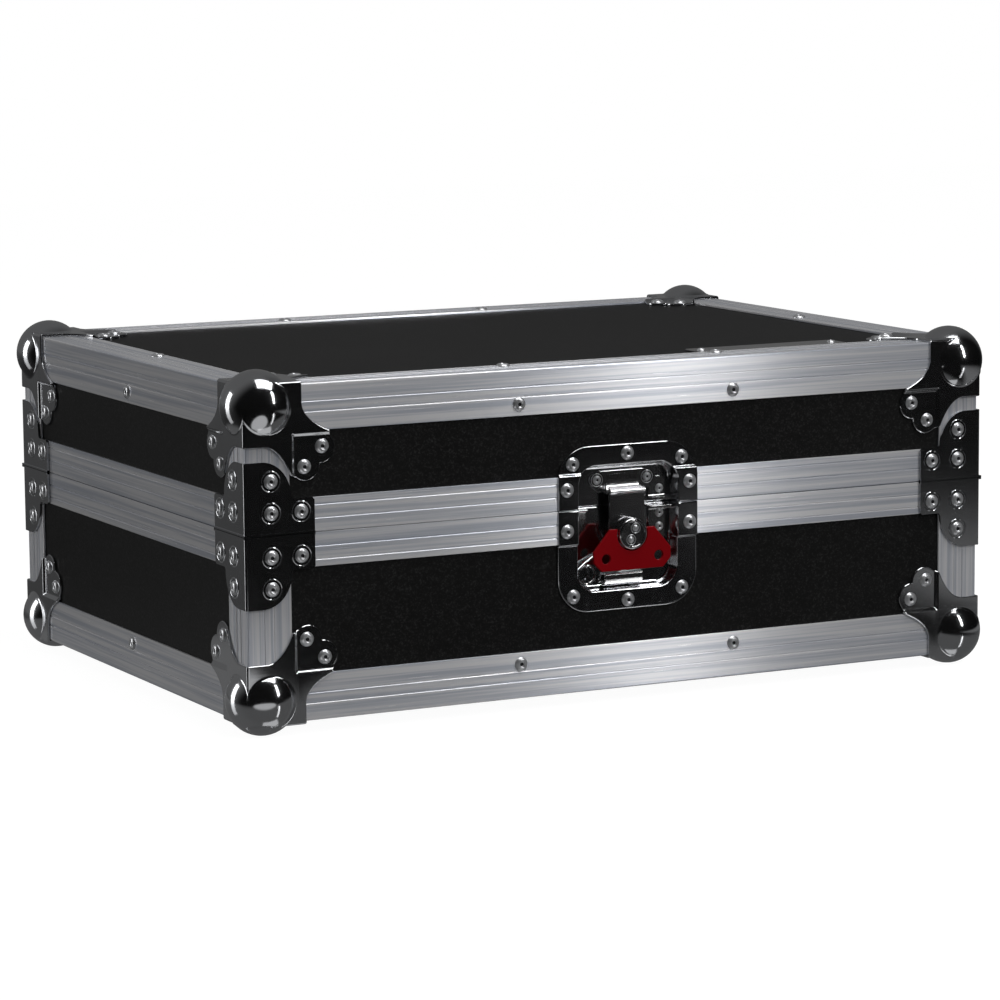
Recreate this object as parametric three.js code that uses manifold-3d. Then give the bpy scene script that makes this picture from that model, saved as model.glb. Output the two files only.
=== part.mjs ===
// A flight case for one DJ media player: a base and a lift-off lid of laminated plywood, edged with
// aluminium extrusion, with pressed steel ball corners and brace corners, one twist latch in the middle
// of the front and one of the back, a carry handle in the right end, and a foam lining.
// Millimetres, +Z up, +Y to the back. The origin is under the middle of the case, on the plane that
// the four lower ball corners stand on.
import * as THREE from 'three';
import { mergeVertices } from 'three/addons/utils/BufferGeometryUtils.js';
import Module from 'manifold-3d';

const wasm = await Module();
wasm.setup();

// The case, measured over the aluminium, and what shows of its panels between the extrusions
const caseWidth = 540;
const caseDepth = 392;
const basePanelShow = 68;
const lidPanelShow = 42;

// Clearances
const fitGap = 0.3;
const partingGap = 0.4;
const cutOverrun = 4;

// Laminated plywood panels
const panelThickness = 9;

// Angle extrusion of the edges and of the upright corners
const edgingLeg = 30;
const edgingWall = 1.5;
const edgingGroovePlaces = [11.2, 17.8];
const grooveWidth = 1;
const grooveDepth = 0.5;

// Location extrusion, the tongue and groove that lines lid and base up
const bandHeight = 22;
const bandGroovePlaces = [8.9, 17.4];
const innerLegWall = 1.2;
const baseWebHeight = 9;
const lidWebHeight = 4;
const tongueWidth = 3.5;
const tongueLength = 6.5;
const tonguePlay = 0.5;
const tongueFloor = 1;

// Pressed steel hardware plate
const plateThickness = 1.5;

// Ball corners. The ball's surface passes the corner point of the case a little inside it.
const ballRadius = 23;
const ballTipSetback = 0.721;
const ballSegments = 12;
const ballRings = 8;
const hollowSegments = 8;
const hollowRings = 5;
const ballShell = 1.6;
const cornerReach = 38.5;
const cornerStraight = 13;
const earLobeRadius = 10;
const earLobeFar = 51.3;
const earLobeNear = 41;
const earFlare = 5.7;
const cornerRivetShift = 1;

// Brace corners, which clasp the upright corners at the parting line
const braceReach = 46;
const braceFoot = 22.5;
const braceHeight = 46.4;
const braceFlatTop = 10;
const braceRivetInset = 16.3;
const braceRivetOut = 36.8;
const braceRivetLow = 14;
const braceRivetHigh = 34;

// Rivet heads
const rivetRadius = 4.7;
const rivetHeight = 1.6;
const rivetSides = 6;
const rivetFoot = 0.7;
const rivetTopShare = 0.6;
const spindleSides = 14;
const edgingRivetSpread = 79;
const edgingRivetInset = 22.5;

// Recessed latch dish, the same front and back, placed from the parting line. Its rivets are set in
// from the edge of its flange.
const dishWidth = 103;
const dishRise = 41;
const dishDrop = 68;
const dishCornerRadius = 23;
const dishFlangeSide = 14;
const dishFlangeEnd = 12.7;
const recessCornerRadius = 13;
const dishSheet = 1.2;
const dishRivetInset = 6.2;
const dishRivetDiagonalInset = 11.2;
const dishRivetStrap = 13.5;

// Strike and padlock tabs in the dish
const strikeWidth = 44;
const strikeLow = 8;
const strikeInset = 5.3;
const strikeRivetReach = 18.5;
const strikeRivetRise = 17.8;
const strikeThickness = 1.5;
const lipWidth = 24;
const lipThickness = 1.4;
const lipRise = 5;
const tabInset = 9.5;
const tabWidth = 16.6;
const tabThickness = 1.6;
const tabReach = 4.5;
const tabRise = 17;
const tabDrop = 24;
const tabParting = 2;
const tabRivetRise = 8.7;
const tabRivetDrops = [6.9, 16.6];
const tabRivetRadius = 3;

// Twist latch: spindle, hook and folding handle
const spindleDrop = 17.5;
const hubRadius = 9;
const bossRadius = 10.4;
const bossProud = 8;
const bossBevel = 1;
const bossFaceRadius = 8.2;
const bossFaceDepth = 0.7;
const bossPinRadius = 1.9;
const bossPinReach = 4.6;
const bossPinTurn = 1.1;
const hookWidth = 26;
const hookThickness = 2;
const hookDepth = 3.2;
const hookRise = 12;
const hookRollRadius = 2;
const handleThickness = 2.4;
const handleMiddle = 5;
const handleTopReach = 16.4;
const handleTopRise = 3.6;
const handleWideReach = 28.5;
const handleWideHigh = 10.5;
const handleWideLow = 17.5;
const handleBottomReach = 22.7;
const handleBottomDrop = 23.6;
const handleHoleReach = 19.4;
const handleHoleDrop = 15.5;
const handleHoleRadius = 3.2;
const handleNotchPlay = 0.8;

// Carry handle in the right end of the base, between the lower edging and the location extrusion
const carryPlateWidth = 140;
const carryPlateMargin = 3;
const carryPlateRadius = 8;
const carryFlangeSide = 12;
const carryFlangeEnd = 8;
const carryRecessRadius = 4;
const bailGripRadius = 4;
const bailLegThickness = 4;
const bailLegWidth = 7;
const bailPivotInset = 7;
const bailGripInset = 9;
const bailDepth = 5;
const bailSidePlay = 0.5;
const bailPinRadius = 2;
const bailPinPlay = 0.4;
const carryRivetInset = 6.5;

// Foam lining, thick enough all round to leave a pocket for a player of 405 by 320 by 118
const foamEnds = 52;
const foamSides = 20;
const foamFloor = 20;
const foamRoof = 51;
const foamRim = 12;

// Label plate on the lid, left bare
const labelWidth = 114;
const labelDepth = 23;
const labelThickness = 1.2;
const labelCornerRadius = 2;
const labelEndDistance = 140;
const labelRivetInset = 6.5;
const labelRivetRadius = 3;
const labelSetback = 1.5;

// Sizes that follow from the ones above
const baseHeight = edgingLeg + basePanelShow + bandHeight;
const lidHeight = edgingLeg + lidPanelShow + bandHeight;
const recessWidth = dishWidth - 2 * dishFlangeSide;
const recessRise = dishRise - dishFlangeEnd;
const recessDrop = dishDrop - dishFlangeEnd;
const carryPlateHeight = basePanelShow - 2 * carryPlateMargin;
const carryRecessWidth = carryPlateWidth - 2 * carryFlangeSide;
const carryRecessHeight = carryPlateHeight - 2 * carryFlangeEnd;
const bailPivotRise = carryRecessHeight / 2 - bailPivotInset;
const bailGripDrop = carryRecessHeight / 2 - bailGripInset;
const ballInset = ballRadius / Math.sqrt(3) + ballTipSetback;
const ballProud = ballRadius - ballInset;
const panelInset = edgingWall + fitGap;
const wallInner = panelInset + panelThickness;
const bandInner = wallInner + fitGap + innerLegWall;
const partingHeight = ballProud + baseHeight;
const lidTop = partingHeight + lidHeight;
const halfWidth = caseWidth / 2;
const halfDepth = caseDepth / 2;
const halfGap = partingGap / 2;
const cornerStop = edgingLeg + fitGap;
const floorTop = ballProud + wallInner;
const ceiling = lidTop - wallInner;
const plateProud = fitGap + plateThickness;
const dishProud = fitGap + dishSheet;
const dishFloor = wallInner - dishSheet;
const dishShelf = panelInset - dishProud;
const carryHeight = ballProud + (edgingLeg + baseHeight - bandHeight) / 2;
const dishHole = dishSheet + fitGap;

const steel = new THREE.MeshStandardMaterial({ color: 0x8f9296, metalness: 1, roughness: 0.18 });
const nickel = new THREE.MeshStandardMaterial({ color: 0xb9bcc0, metalness: 1, roughness: 0.3 });
const aluminium = new THREE.MeshStandardMaterial({ color: 0xc3c6cb, metalness: 1, roughness: 0.38 });
const laminate = new THREE.MeshStandardMaterial({ color: 0x17171a, metalness: 0, roughness: 0.62 });
const redPaint = new THREE.MeshStandardMaterial({ color: 0x8a0012, metalness: 0.1, roughness: 0.45 });
const foam = new THREE.MeshStandardMaterial({ color: 0x2b2c2f, metalness: 0, roughness: 0.95 });

const flightCase = new THREE.Group();

// Solids from closed three.js geometry, and booleans between them

function solid(geometry) {
  geometry.deleteAttribute('normal');
  geometry.deleteAttribute('uv');
  const merged = mergeVertices(geometry);
  return new wasm.Manifold(new wasm.Mesh({
    numProp: 3,
    vertProperties: new Float32Array(merged.attributes.position.array),
    triVerts: new Uint32Array(merged.index.array),
  }));
}

function geometryOf(shape) {
  const mesh = shape.getMesh();
  const geometry = new THREE.BufferGeometry();
  geometry.setAttribute('position', new THREE.BufferAttribute(mesh.vertProperties, 3));
  geometry.setIndex(new THREE.BufferAttribute(mesh.triVerts, 1));
  geometry.computeVertexNormals();
  return geometry;
}

function join(shapes) {
  return shapes.reduce((whole, shape) => whole.add(shape));
}

function cut(shape, cutters) {
  return cutters.reduce((rest, cutter) => rest.subtract(cutter), shape);
}

function block([x0, x1], [y0, y1], [z0, z1]) {
  const geometry = new THREE.BoxGeometry(x1 - x0, y1 - y0, z1 - z0);
  return solid(geometry.translate((x0 + x1) / 2, (y0 + y1) / 2, (z0 + z1) / 2));
}

// A flat outline made thick from one height to another along Z
function slab(outline, z0, z1, curveSegments = 3) {
  const geometry = new THREE.ExtrudeGeometry(outline, { depth: z1 - z0, bevelEnabled: false, curveSegments });
  return solid(geometry.translate(0, 0, z0));
}

// The same for an outline drawn on an upright face, where Y runs into the case
function uprightSlab(outline, y0, y1, curveSegments = 3) {
  const geometry = new THREE.ExtrudeGeometry(outline, { depth: y1 - y0, bevelEnabled: false, curveSegments });
  return solid(geometry.rotateX(Math.PI / 2).translate(0, y1, 0));
}

function roundedRectangle(x0, x1, y0, y1, radius) {
  const outline = new THREE.Shape();
  outline.moveTo(x0 + radius, y0);
  outline.lineTo(x1 - radius, y0);
  outline.absarc(x1 - radius, y0 + radius, radius, -Math.PI / 2, 0);
  outline.lineTo(x1, y1 - radius);
  outline.absarc(x1 - radius, y1 - radius, radius, 0, Math.PI / 2);
  outline.lineTo(x0 + radius, y1);
  outline.absarc(x0 + radius, y1 - radius, radius, Math.PI / 2, Math.PI);
  outline.lineTo(x0, y0 + radius);
  outline.absarc(x0 + radius, y0 + radius, radius, Math.PI, 1.5 * Math.PI);
  return outline;
}

function circle(x, y, radius) {
  const outline = new THREE.Shape();
  outline.absarc(x, y, radius, 0, 2 * Math.PI);
  return outline;
}

// A rivet head that stands out of an upright face at depth y, its foot sunk into the plate
function uprightRivet(x, y, z, radius = rivetRadius, height = rivetHeight) {
  const profile = [
    new THREE.Vector2(0, -rivetFoot),
    new THREE.Vector2(radius, -rivetFoot),
    new THREE.Vector2(radius, 0),
    new THREE.Vector2(radius * rivetTopShare, height),
    new THREE.Vector2(0, height),
  ];
  const geometry = new THREE.LatheGeometry(profile, rivetSides);
  return solid(geometry.rotateX(Math.PI).translate(x, y, z));
}

// The same on a face that looks up
function topRivet(x, y, z, radius = rivetRadius, height = rivetHeight) {
  return uprightRivet(0, 0, 0, radius, height).rotate([-90, 0, 0]).translate([x, y, z]);
}

function place(name, shape, material, parent) {
  const mesh = new THREE.Mesh(geometryOf(shape), material);
  mesh.name = name;
  parent.add(mesh);
  return mesh;
}

// Latch recess, drawn about the middle of the dish on the parting line
function recessOutline(margin) {
  const x = recessWidth / 2 + margin;
  return roundedRectangle(-x, x, -recessDrop - margin, recessRise + margin, recessCornerRadius + margin);
}

// Hole for the latch dish through a front or back wall
function latchHole(into) {
  return uprightSlab(recessOutline(dishHole), -cutOverrun, into).translate([0, -halfDepth, partingHeight]);
}

function carryHole() {
  const x = carryRecessWidth / 2 + dishHole;
  const z = carryRecessHeight / 2 + dishHole;
  const outline = roundedRectangle(-x, x, -z, z, carryRecessRadius + dishHole);
  return uprightSlab(outline, -cutOverrun, wallInner + cutOverrun);
}

// Panels: front and back run the full width, the ends stand between them, and floor and top lie
// inside all four
const panelX = halfWidth - panelInset;
const panelY = halfDepth - panelInset;
const innerX = halfWidth - wallInner - fitGap;
const innerY = halfDepth - wallInner - fitGap;

function longPanel(z0, z1) {
  const sheet = block([-panelX, panelX], [-panelY, -panelY + panelThickness], [z0, z1]);
  return cut(sheet, [latchHole(wallInner + cutOverrun)]);
}

function endPanel(z0, z1) {
  return block([-innerY, innerY], [-panelX, -panelX + panelThickness], [z0, z1]);
}

const baseUnderside = ballProud + panelInset;
const basePanelTop = partingHeight - halfGap - baseWebHeight - fitGap;
const lidPanelBottom = partingHeight + halfGap + lidWebHeight + fitGap;
const lidPanelTop = lidTop - panelInset;

// A wall frame turns a piece drawn for the front to the back or to an end. The drawing has X to the
// right as seen from outside and Y into the case.
function wallFrame(turn) {
  const frame = new THREE.Group();
  frame.rotation.z = turn;
  flightCase.add(frame);
  return frame;
}

const walls = {
  front: wallFrame(0),
  right: wallFrame(Math.PI / 2),
  rear: wallFrame(Math.PI),
  left: wallFrame(-Math.PI / 2),
};

const carryCut = carryHole().translate([0, -halfWidth, carryHeight]);
for (const side of ['front', 'rear']) {
  place(`base_${side}_panel`, longPanel(baseUnderside, basePanelTop), laminate, walls[side]);
  place(`lid_${side}_panel`, longPanel(lidPanelBottom, lidPanelTop), laminate, walls[side]);
}
place('base_left_panel', endPanel(baseUnderside, basePanelTop), laminate, walls.left);
place('base_right_panel', cut(endPanel(baseUnderside, basePanelTop), [carryCut]), laminate, walls.right);
place('lid_left_panel', endPanel(lidPanelBottom, lidPanelTop), laminate, walls.left);
place('lid_right_panel', endPanel(lidPanelBottom, lidPanelTop), laminate, walls.right);

const floorX = [-innerX, innerX];
const floorY = [-innerY, innerY];
place('base_floor_panel', block(floorX, floorY, [baseUnderside, floorTop]), laminate, flightCase);
place('lid_top_panel', block(floorX, floorY, [ceiling, lidPanelTop]), laminate, flightCase);

// Angle extrusion, drawn with its arris on the origin, its legs along +X and +Y and its grooves on
// both outer faces
function angleOutline() {
  const outline = new THREE.Shape();
  const half = grooveWidth / 2;
  outline.moveTo(0, 0);
  for (const place of edgingGroovePlaces) {
    outline.lineTo(place - half, 0);
    outline.lineTo(place, grooveDepth);
    outline.lineTo(place + half, 0);
  }
  outline.lineTo(edgingLeg, 0);
  outline.lineTo(edgingLeg, edgingWall);
  outline.lineTo(edgingWall, edgingWall);
  outline.lineTo(edgingWall, edgingLeg);
  outline.lineTo(0, edgingLeg);
  for (const place of [...edgingGroovePlaces].reverse()) {
    outline.lineTo(0, place + half);
    outline.lineTo(grooveDepth, place);
    outline.lineTo(0, place - half);
  }
  return outline;
}

// Lower edging of one wall, with its rivets: it lies along X, with its legs up and inwards
function lowerEdging(length, rivetSpots) {
  const bar = slab(angleOutline(), -length / 2, length / 2).rotate([0, 90, 0]).rotate([90, 0, 0]);
  const rivets = rivetSpots.map((x) => uprightRivet(x, 0, edgingRivetInset));
  return join([bar, ...rivets]);
}

// Upper edging, which also has rivets in its top leg
function upperEdging(length, rivetSpots) {
  const bar = lowerEdging(length, rivetSpots).mirror([0, 0, 1]);
  const rivets = rivetSpots.map((x) => topRivet(x, edgingRivetInset, 0));
  return join([bar, ...rivets]);
}

const longEdging = caseWidth - 2 * cornerStop;
const shortEdging = caseDepth - 2 * cornerStop;
const longSpots = [-edgingRivetSpread, edgingRivetSpread];
const shortSpots = [0];
for (const side of ['front', 'rear', 'left', 'right']) {
  const long = side === 'front' || side === 'rear';
  const length = long ? longEdging : shortEdging;
  const spots = long ? longSpots : shortSpots;
  const out = long ? halfDepth : halfWidth;
  const lower = place(`base_${side}_edging`, lowerEdging(length, spots), aluminium, walls[side]);
  const upper = place(`lid_${side}_edging`, upperEdging(length, spots), aluminium, walls[side]);
  lower.position.set(0, -out, ballProud);
  upper.position.set(0, -out, lidTop);
}

// Location extrusion: the four mitred lengths are riveted to one another, so each is one ring
function rectangleRing(outerInset, innerInset, z0, z1) {
  const [outerX, outerY] = [halfWidth - outerInset, halfDepth - outerInset];
  const [holeX, holeY] = [halfWidth - innerInset, halfDepth - innerInset];
  const ring = block([-outerX, outerX], [-outerY, outerY], [z0, z1]);
  return ring.subtract(block([-holeX, holeX], [-holeY, holeY], [z0 - cutOverrun, z1 + cutOverrun]));
}

// Grooves along the outer face of a ring, at heights from the parting line
function ringGrooves(direction) {
  return bandGroovePlaces.map((rise) => {
    const z = partingHeight + direction * rise;
    return rectangleRing(-cutOverrun, grooveDepth, z - grooveWidth / 2, z + grooveWidth / 2);
  });
}

const tongueOuter = (bandInner - tongueWidth) / 2;
const tongueInner = tongueOuter + tongueWidth;
const bothLatchHoles = [latchHole(wallInner), latchHole(wallInner).rotate([0, 0, 180])];
const baseBandTop = partingHeight - halfGap;
const baseBandBottom = partingHeight - bandHeight;
const grooveBottom = partingHeight - tongueLength - tonguePlay;
const baseWebBottom = Math.min(baseBandTop - baseWebHeight, grooveBottom - tongueFloor);
const lidBandBottom = partingHeight + halfGap;
const lidBandTop = partingHeight + bandHeight;

const baseRing = join([
  rectangleRing(0, bandInner, baseWebBottom, baseBandTop),
  rectangleRing(0, edgingWall, baseBandBottom, baseBandTop),
  rectangleRing(bandInner - innerLegWall, bandInner, baseBandBottom, baseBandTop),
]);
const tongueSlot = rectangleRing(
  tongueOuter - tonguePlay,
  tongueInner + tonguePlay,
  grooveBottom,
  partingHeight + cutOverrun,
);
const lidRing = join([
  rectangleRing(0, bandInner, lidBandBottom, lidBandBottom + lidWebHeight),
  rectangleRing(0, edgingWall, lidBandBottom, lidBandTop),
  rectangleRing(bandInner - innerLegWall, bandInner, lidBandBottom, lidBandTop),
  rectangleRing(tongueOuter, tongueInner, partingHeight - tongueLength, lidBandBottom + lidWebHeight / 2),
]);
const baseBand = cut(baseRing, [tongueSlot, ...ringGrooves(-1), ...bothLatchHoles]);
const lidBand = cut(lidRing, [...ringGrooves(1), ...bothLatchHoles]);
place('base_location_profile', baseBand, aluminium, flightCase);
place('lid_location_profile', lidBand, aluminium, flightCase);

// Upright corner angles, between ball corner and location extrusion
function cornerPost(z0, z1) {
  return slab(angleOutline(), z0, z1);
}

// Outline of a ball corner's plate on one face, from the arris at the origin: a square with two
// scooped sides and an ear of two round lobes on the diagonal
function cornerOutline() {
  const outline = new THREE.Shape();
  const scoop = (cornerReach + cornerStraight / 2) / 2 + fitGap;
  const earStart = earLobeFar + earFlare;
  const lobeStart = -0.7;
  const cusp = Math.acos((earLobeNear - earLobeFar) / (Math.SQRT2 * earLobeRadius)) - Math.PI / 4;
  outline.moveTo(-plateProud, -plateProud);
  outline.lineTo(cornerReach, -plateProud);
  outline.lineTo(cornerReach, cornerStraight);
  outline.quadraticCurveTo(cornerReach + plateThickness, scoop, earStart, edgingLeg);
  outline.absarc(earLobeFar, earLobeNear, earLobeRadius, lobeStart, cusp);
  outline.absarc(earLobeNear, earLobeFar, earLobeRadius, Math.PI / 2 - cusp, Math.PI / 2 - lobeStart);
  outline.lineTo(edgingLeg, earStart);
  outline.quadraticCurveTo(scoop, cornerReach + plateThickness, cornerStraight, cornerReach);
  outline.lineTo(-plateProud, cornerReach);
  return outline;
}

// One face of a ball corner, on the plane z = 0 and outwards to -Z: it rides over the extrusions and
// steps down to the panel under the ear
function cornerFace() {
  const far = cornerReach + earLobeFar + earLobeRadius;
  const step = cornerStop + plateThickness;
  const over = [step, far];
  const under = [-panelInset - cutOverrun, cornerStop];
  const plate = slab(cornerOutline(), -plateProud, edgingWall, 2);
  const shelf = panelInset - plateProud;
  const low = [-fitGap, edgingWall + cutOverrun];
  const high = [-plateProud - cutOverrun, shelf];
  const rivetFar = earLobeFar + cornerRivetShift;
  const rivetNear = earLobeNear - cornerRivetShift;
  const rivets = [[rivetFar, rivetNear], [rivetNear, rivetFar]];
  const heads = rivets.map(([x, y]) => topRivet(x, y, -shelf).mirror([0, 0, 1]));
  return join([
    cut(plate, [block(under, [-far, far], low), block([-far, far], under, low), block(over, over, high)]),
    ...heads,
  ]);
}

function ballCorner() {
  const face = cornerFace();
  const ball = solid(new THREE.SphereGeometry(ballRadius, ballSegments, ballRings));
  const hollow = solid(new THREE.SphereGeometry(ballRadius - ballShell, hollowSegments, hollowRings));
  const seat = [ballInset, ballInset, ballInset];
  const far = ballRadius + ballInset + cutOverrun;
  const inside = [panelInset - fitGap, far];
  const beside = [-fitGap, far];
  const past = [edgingLeg, far];
  const room = [
    block(inside, inside, inside),
    block(past, beside, beside),
    block(beside, past, beside),
    block(beside, beside, past),
  ];
  const faces = [face, face.rotate([0, -90, 0]).mirror([1, 0, 0]), face.rotate([90, 0, 0]).mirror([0, 1, 0])];
  const shell = cut(ball.translate(seat), [...room, hollow.translate(seat)]);
  const tip = [-ballRadius, ballInset];
  const beyond = block(tip, tip, tip).subtract(ball.translate(seat));
  return join([cut(join(faces), [beyond, hollow.translate(seat)]), shell]);
}

// Outline of a brace corner on one face: a foot along the parting line and an arch up the post
function braceOutline() {
  const outline = new THREE.Shape();
  const neck = braceFoot + plateThickness;
  outline.moveTo(-plateProud, halfGap);
  outline.lineTo(braceReach, halfGap);
  outline.lineTo(braceReach, braceFoot);
  outline.lineTo(edgingLeg + plateThickness, braceFoot);
  outline.lineTo(edgingLeg, neck);
  outline.absellipse(braceFlatTop, neck, edgingLeg - braceFlatTop, braceHeight - neck, 0, Math.PI / 2);
  outline.lineTo(-plateProud, braceHeight);
  return outline;
}

function braceCorner() {
  const spots = [
    [braceRivetInset, braceRivetLow],
    [braceRivetOut, braceRivetLow],
    [braceRivetInset, braceRivetHigh],
  ];
  const plate = uprightSlab(braceOutline(), -plateProud, -fitGap);
  const heads = spots.map(([x, z]) => uprightRivet(x, -plateProud, z));
  const face = join([plate, ...heads]);
  return join([face, face.rotate([0, 0, 90]).mirror([1, 0, 0])]);
}

const post = {
  base: cornerPost(cornerStop, baseHeight - bandHeight - fitGap),
  lid: cornerPost(cornerStop, lidHeight - bandHeight - fitGap),
};
const ball = ballCorner();
const brace = braceCorner();
for (const [half, up, z] of [['base', 1, ballProud], ['lid', -1, lidTop]]) {
  for (const [side, hand, x, y] of [
    ['front', 'left', -1, -1],
    ['front', 'right', 1, -1],
    ['rear', 'left', -1, 1],
    ['rear', 'right', 1, 1],
  ]) {
    const corner = new THREE.Group();
    corner.position.set(x * halfWidth, y * halfDepth, z);
    corner.scale.set(-x, -y, up);
    flightCase.add(corner);
    place(`${half}_${side}_${hand}_post`, post[half], aluminium, corner);
    place(`${half}_${side}_${hand}_ball_corner`, ball, steel, corner);
    const clasp = place(`${half}_${side}_${hand}_brace`, brace, steel, corner);
    clasp.scale.z = -1;
    clasp.position.z = half === 'base' ? baseHeight : lidHeight;
  }
}

// Latch dish: a pressed pan let into the wall across the parting line. Its flange lies on the panels
// and steps up over the location extrusion at both sides. It is cut in two at the parting line.
function dishPan() {
  const edge = dishWidth / 2;
  const outline = roundedRectangle(-edge, edge, -dishDrop, dishRise, dishCornerRadius);
  const strap = bandHeight + fitGap;
  const step = strap + dishSheet;
  const wide = [-dishWidth, dishWidth];
  const flange = uprightSlab(outline, -dishProud, dishShelf + dishSheet);
  const underStrap = block(wide, [-fitGap, panelInset], [-strap, strap]);
  const aboveShelf = [-dishProud - cutOverrun, dishShelf];
  const walls = uprightSlab(recessOutline(dishSheet), -dishProud, wallInner);
  const inside = uprightSlab(recessOutline(0), -dishProud - cutOverrun, dishFloor);
  return cut(join([flange.subtract(underStrap), walls]), [
    inside,
    block(wide, aboveShelf, [step, dishRise + cutOverrun]),
    block(wide, aboveShelf, [-dishDrop - cutOverrun, -step]),
  ]);
}

// Striking plate on the lid's half of the dish, with the lip that the hook pulls down on
function strike() {
  const edge = strikeWidth / 2;
  const lip = lipWidth / 2;
  const lipFace = hookDepth + partingGap;
  const foot = dishFloor + dishSheet / 2;
  const strikeHigh = recessRise - strikeInset;
  return join([
    block([-edge, edge], [dishFloor - strikeThickness, foot], [strikeLow, strikeHigh]),
    block([-lip, lip], [lipFace, foot], [strikeLow, strikeLow + lipThickness]),
    block([-lip, lip], [lipFace, lipFace + lipThickness], [strikeLow, strikeLow + lipRise]),
    uprightRivet(-strikeRivetReach, dishFloor - strikeThickness, strikeRivetRise, tabRivetRadius),
    uprightRivet(strikeRivetReach, dishFloor - strikeThickness, strikeRivetRise, tabRivetRadius),
  ]);
}

// Padlock tab: an angle riveted to the dish floor, its outer end rounded, its ledge by the parting line
function padlockTab(reach, rivetPlaces) {
  const edge = tabWidth / 2;
  const outline = new THREE.Shape();
  outline.moveTo(-edge, tabParting);
  outline.lineTo(edge, tabParting);
  outline.lineTo(edge, reach - edge);
  outline.absarc(0, reach - edge, edge, 0, Math.PI);
  const foot = dishFloor + dishSheet / 2;
  const leaf = uprightSlab(outline, dishFloor - tabThickness, foot);
  const ledge = [dishFloor - tabThickness - tabReach, foot];
  const heads = rivetPlaces.map((z) => uprightRivet(0, dishFloor - tabThickness, z, tabRivetRadius));
  const angle = [leaf, block([-edge, edge], ledge, [tabParting, tabParting + tabThickness]), ...heads];
  return join(angle).translate([recessWidth / 2 - tabInset, 0, 0]);
}

// Rivet heads of one half of the dish: one in the middle of its end, one on each round corner and one
// on each strap over the location extrusion
function dishRivets(end, direction) {
  const flank = dishWidth / 2 - dishRivetInset;
  const diagonal = dishWidth / 2 - dishRivetDiagonalInset;
  const heads = [uprightRivet(0, dishShelf, direction * (end - dishRivetInset))];
  for (const hand of [-1, 1]) {
    heads.push(uprightRivet(hand * diagonal, dishShelf, direction * (end - dishRivetDiagonalInset)));
    heads.push(uprightRivet(hand * flank, -dishProud, direction * dishRivetStrap));
  }
  return heads;
}

function lidDish() {
  const half = dishPan().subtract(block([-dishWidth, dishWidth], [-dishWidth, dishWidth], [-dishWidth, halfGap]));
  return join([half, ...dishRivets(dishRise, 1), strike(), padlockTab(tabRise, [tabRivetRise])]);
}

function baseDish() {
  const half = dishPan().subtract(block([-dishWidth, dishWidth], [-dishWidth, dishWidth], [-halfGap, dishWidth]));
  return join([half, ...dishRivets(dishDrop, -1), padlockTab(tabDrop, tabRivetDrops).mirror([0, 0, 1])]);
}

// Spindle: a hub on the dish floor and a wider boss in front of the hook, which carries the handle
function spindle() {
  const hookFace = hookDepth - hookThickness;
  const foot = fitGap - dishFloor;
  const neck = fitGap - hookFace;
  const profile = [
    new THREE.Vector2(0, foot),
    new THREE.Vector2(hubRadius, foot),
    new THREE.Vector2(hubRadius, neck),
    new THREE.Vector2(bossRadius, neck),
    new THREE.Vector2(bossRadius, bossProud - bossBevel),
    new THREE.Vector2(bossRadius - bossBevel, bossProud),
    new THREE.Vector2(bossFaceRadius, bossProud),
    new THREE.Vector2(bossFaceRadius, bossProud - bossFaceDepth),
    new THREE.Vector2(0, bossProud - bossFaceDepth),
  ];
  const body = solid(new THREE.LatheGeometry(profile, spindleSides).rotateX(Math.PI));
  const pins = [bossPinTurn, bossPinTurn + Math.PI].map((turn) => {
    const [x, z] = [bossPinReach * Math.cos(turn), bossPinReach * Math.sin(turn)];
    return uprightRivet(x, bossFaceDepth - bossProud, z, bossPinRadius, bossFaceDepth);
  });
  return join([body, ...pins]);
}

// Hook: a flat drawbar that straddles the hub and ends in a rolled nose over the strike's lip
function hook() {
  const edge = hookWidth / 2;
  const notch = hubRadius + fitGap;
  const rollHeight = hookRise - hookRollRadius;
  const outline = new THREE.Shape();
  outline.moveTo(edge, -spindleDrop);
  outline.lineTo(edge, rollHeight);
  outline.lineTo(-edge, rollHeight);
  outline.lineTo(-edge, -spindleDrop);
  outline.lineTo(-notch, -spindleDrop);
  outline.absarc(0, -spindleDrop, notch, Math.PI, 0, true);
  const bar = uprightSlab(outline, hookDepth - hookThickness, hookDepth);
  const roll = new THREE.CylinderGeometry(hookRollRadius, hookRollRadius, hookWidth, spindleSides);
  roll.rotateZ(Math.PI / 2).translate(0, hookDepth - hookRollRadius, rollHeight);
  return bar.add(solid(roll));
}

// Handle: half a butterfly of plate, notched round the boss, with two holes
function latchHandle() {
  const notch = bossRadius + handleNotchPlay;
  const turn = Math.asin(handleTopRise / notch);
  const side = [
    [handleTopReach, handleTopRise],
    [handleWideReach, -handleWideHigh],
    [handleWideReach, -handleWideLow],
    [handleBottomReach, -handleBottomDrop],
  ];
  const outline = new THREE.Shape();
  outline.moveTo(notch * Math.cos(turn), handleTopRise);
  side.forEach(([x, z]) => outline.lineTo(x, z));
  side.reverse().forEach(([x, z]) => outline.lineTo(-x, z));
  outline.lineTo(-notch * Math.cos(turn), handleTopRise);
  outline.absarc(0, 0, notch, Math.PI - turn, 2 * Math.PI + turn);
  outline.holes.push(circle(-handleHoleReach, -handleHoleDrop, handleHoleRadius));
  outline.holes.push(circle(handleHoleReach, -handleHoleDrop, handleHoleRadius));
  const half = handleThickness / 2;
  return uprightSlab(outline, -handleMiddle - half, -handleMiddle + half);
}

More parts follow.
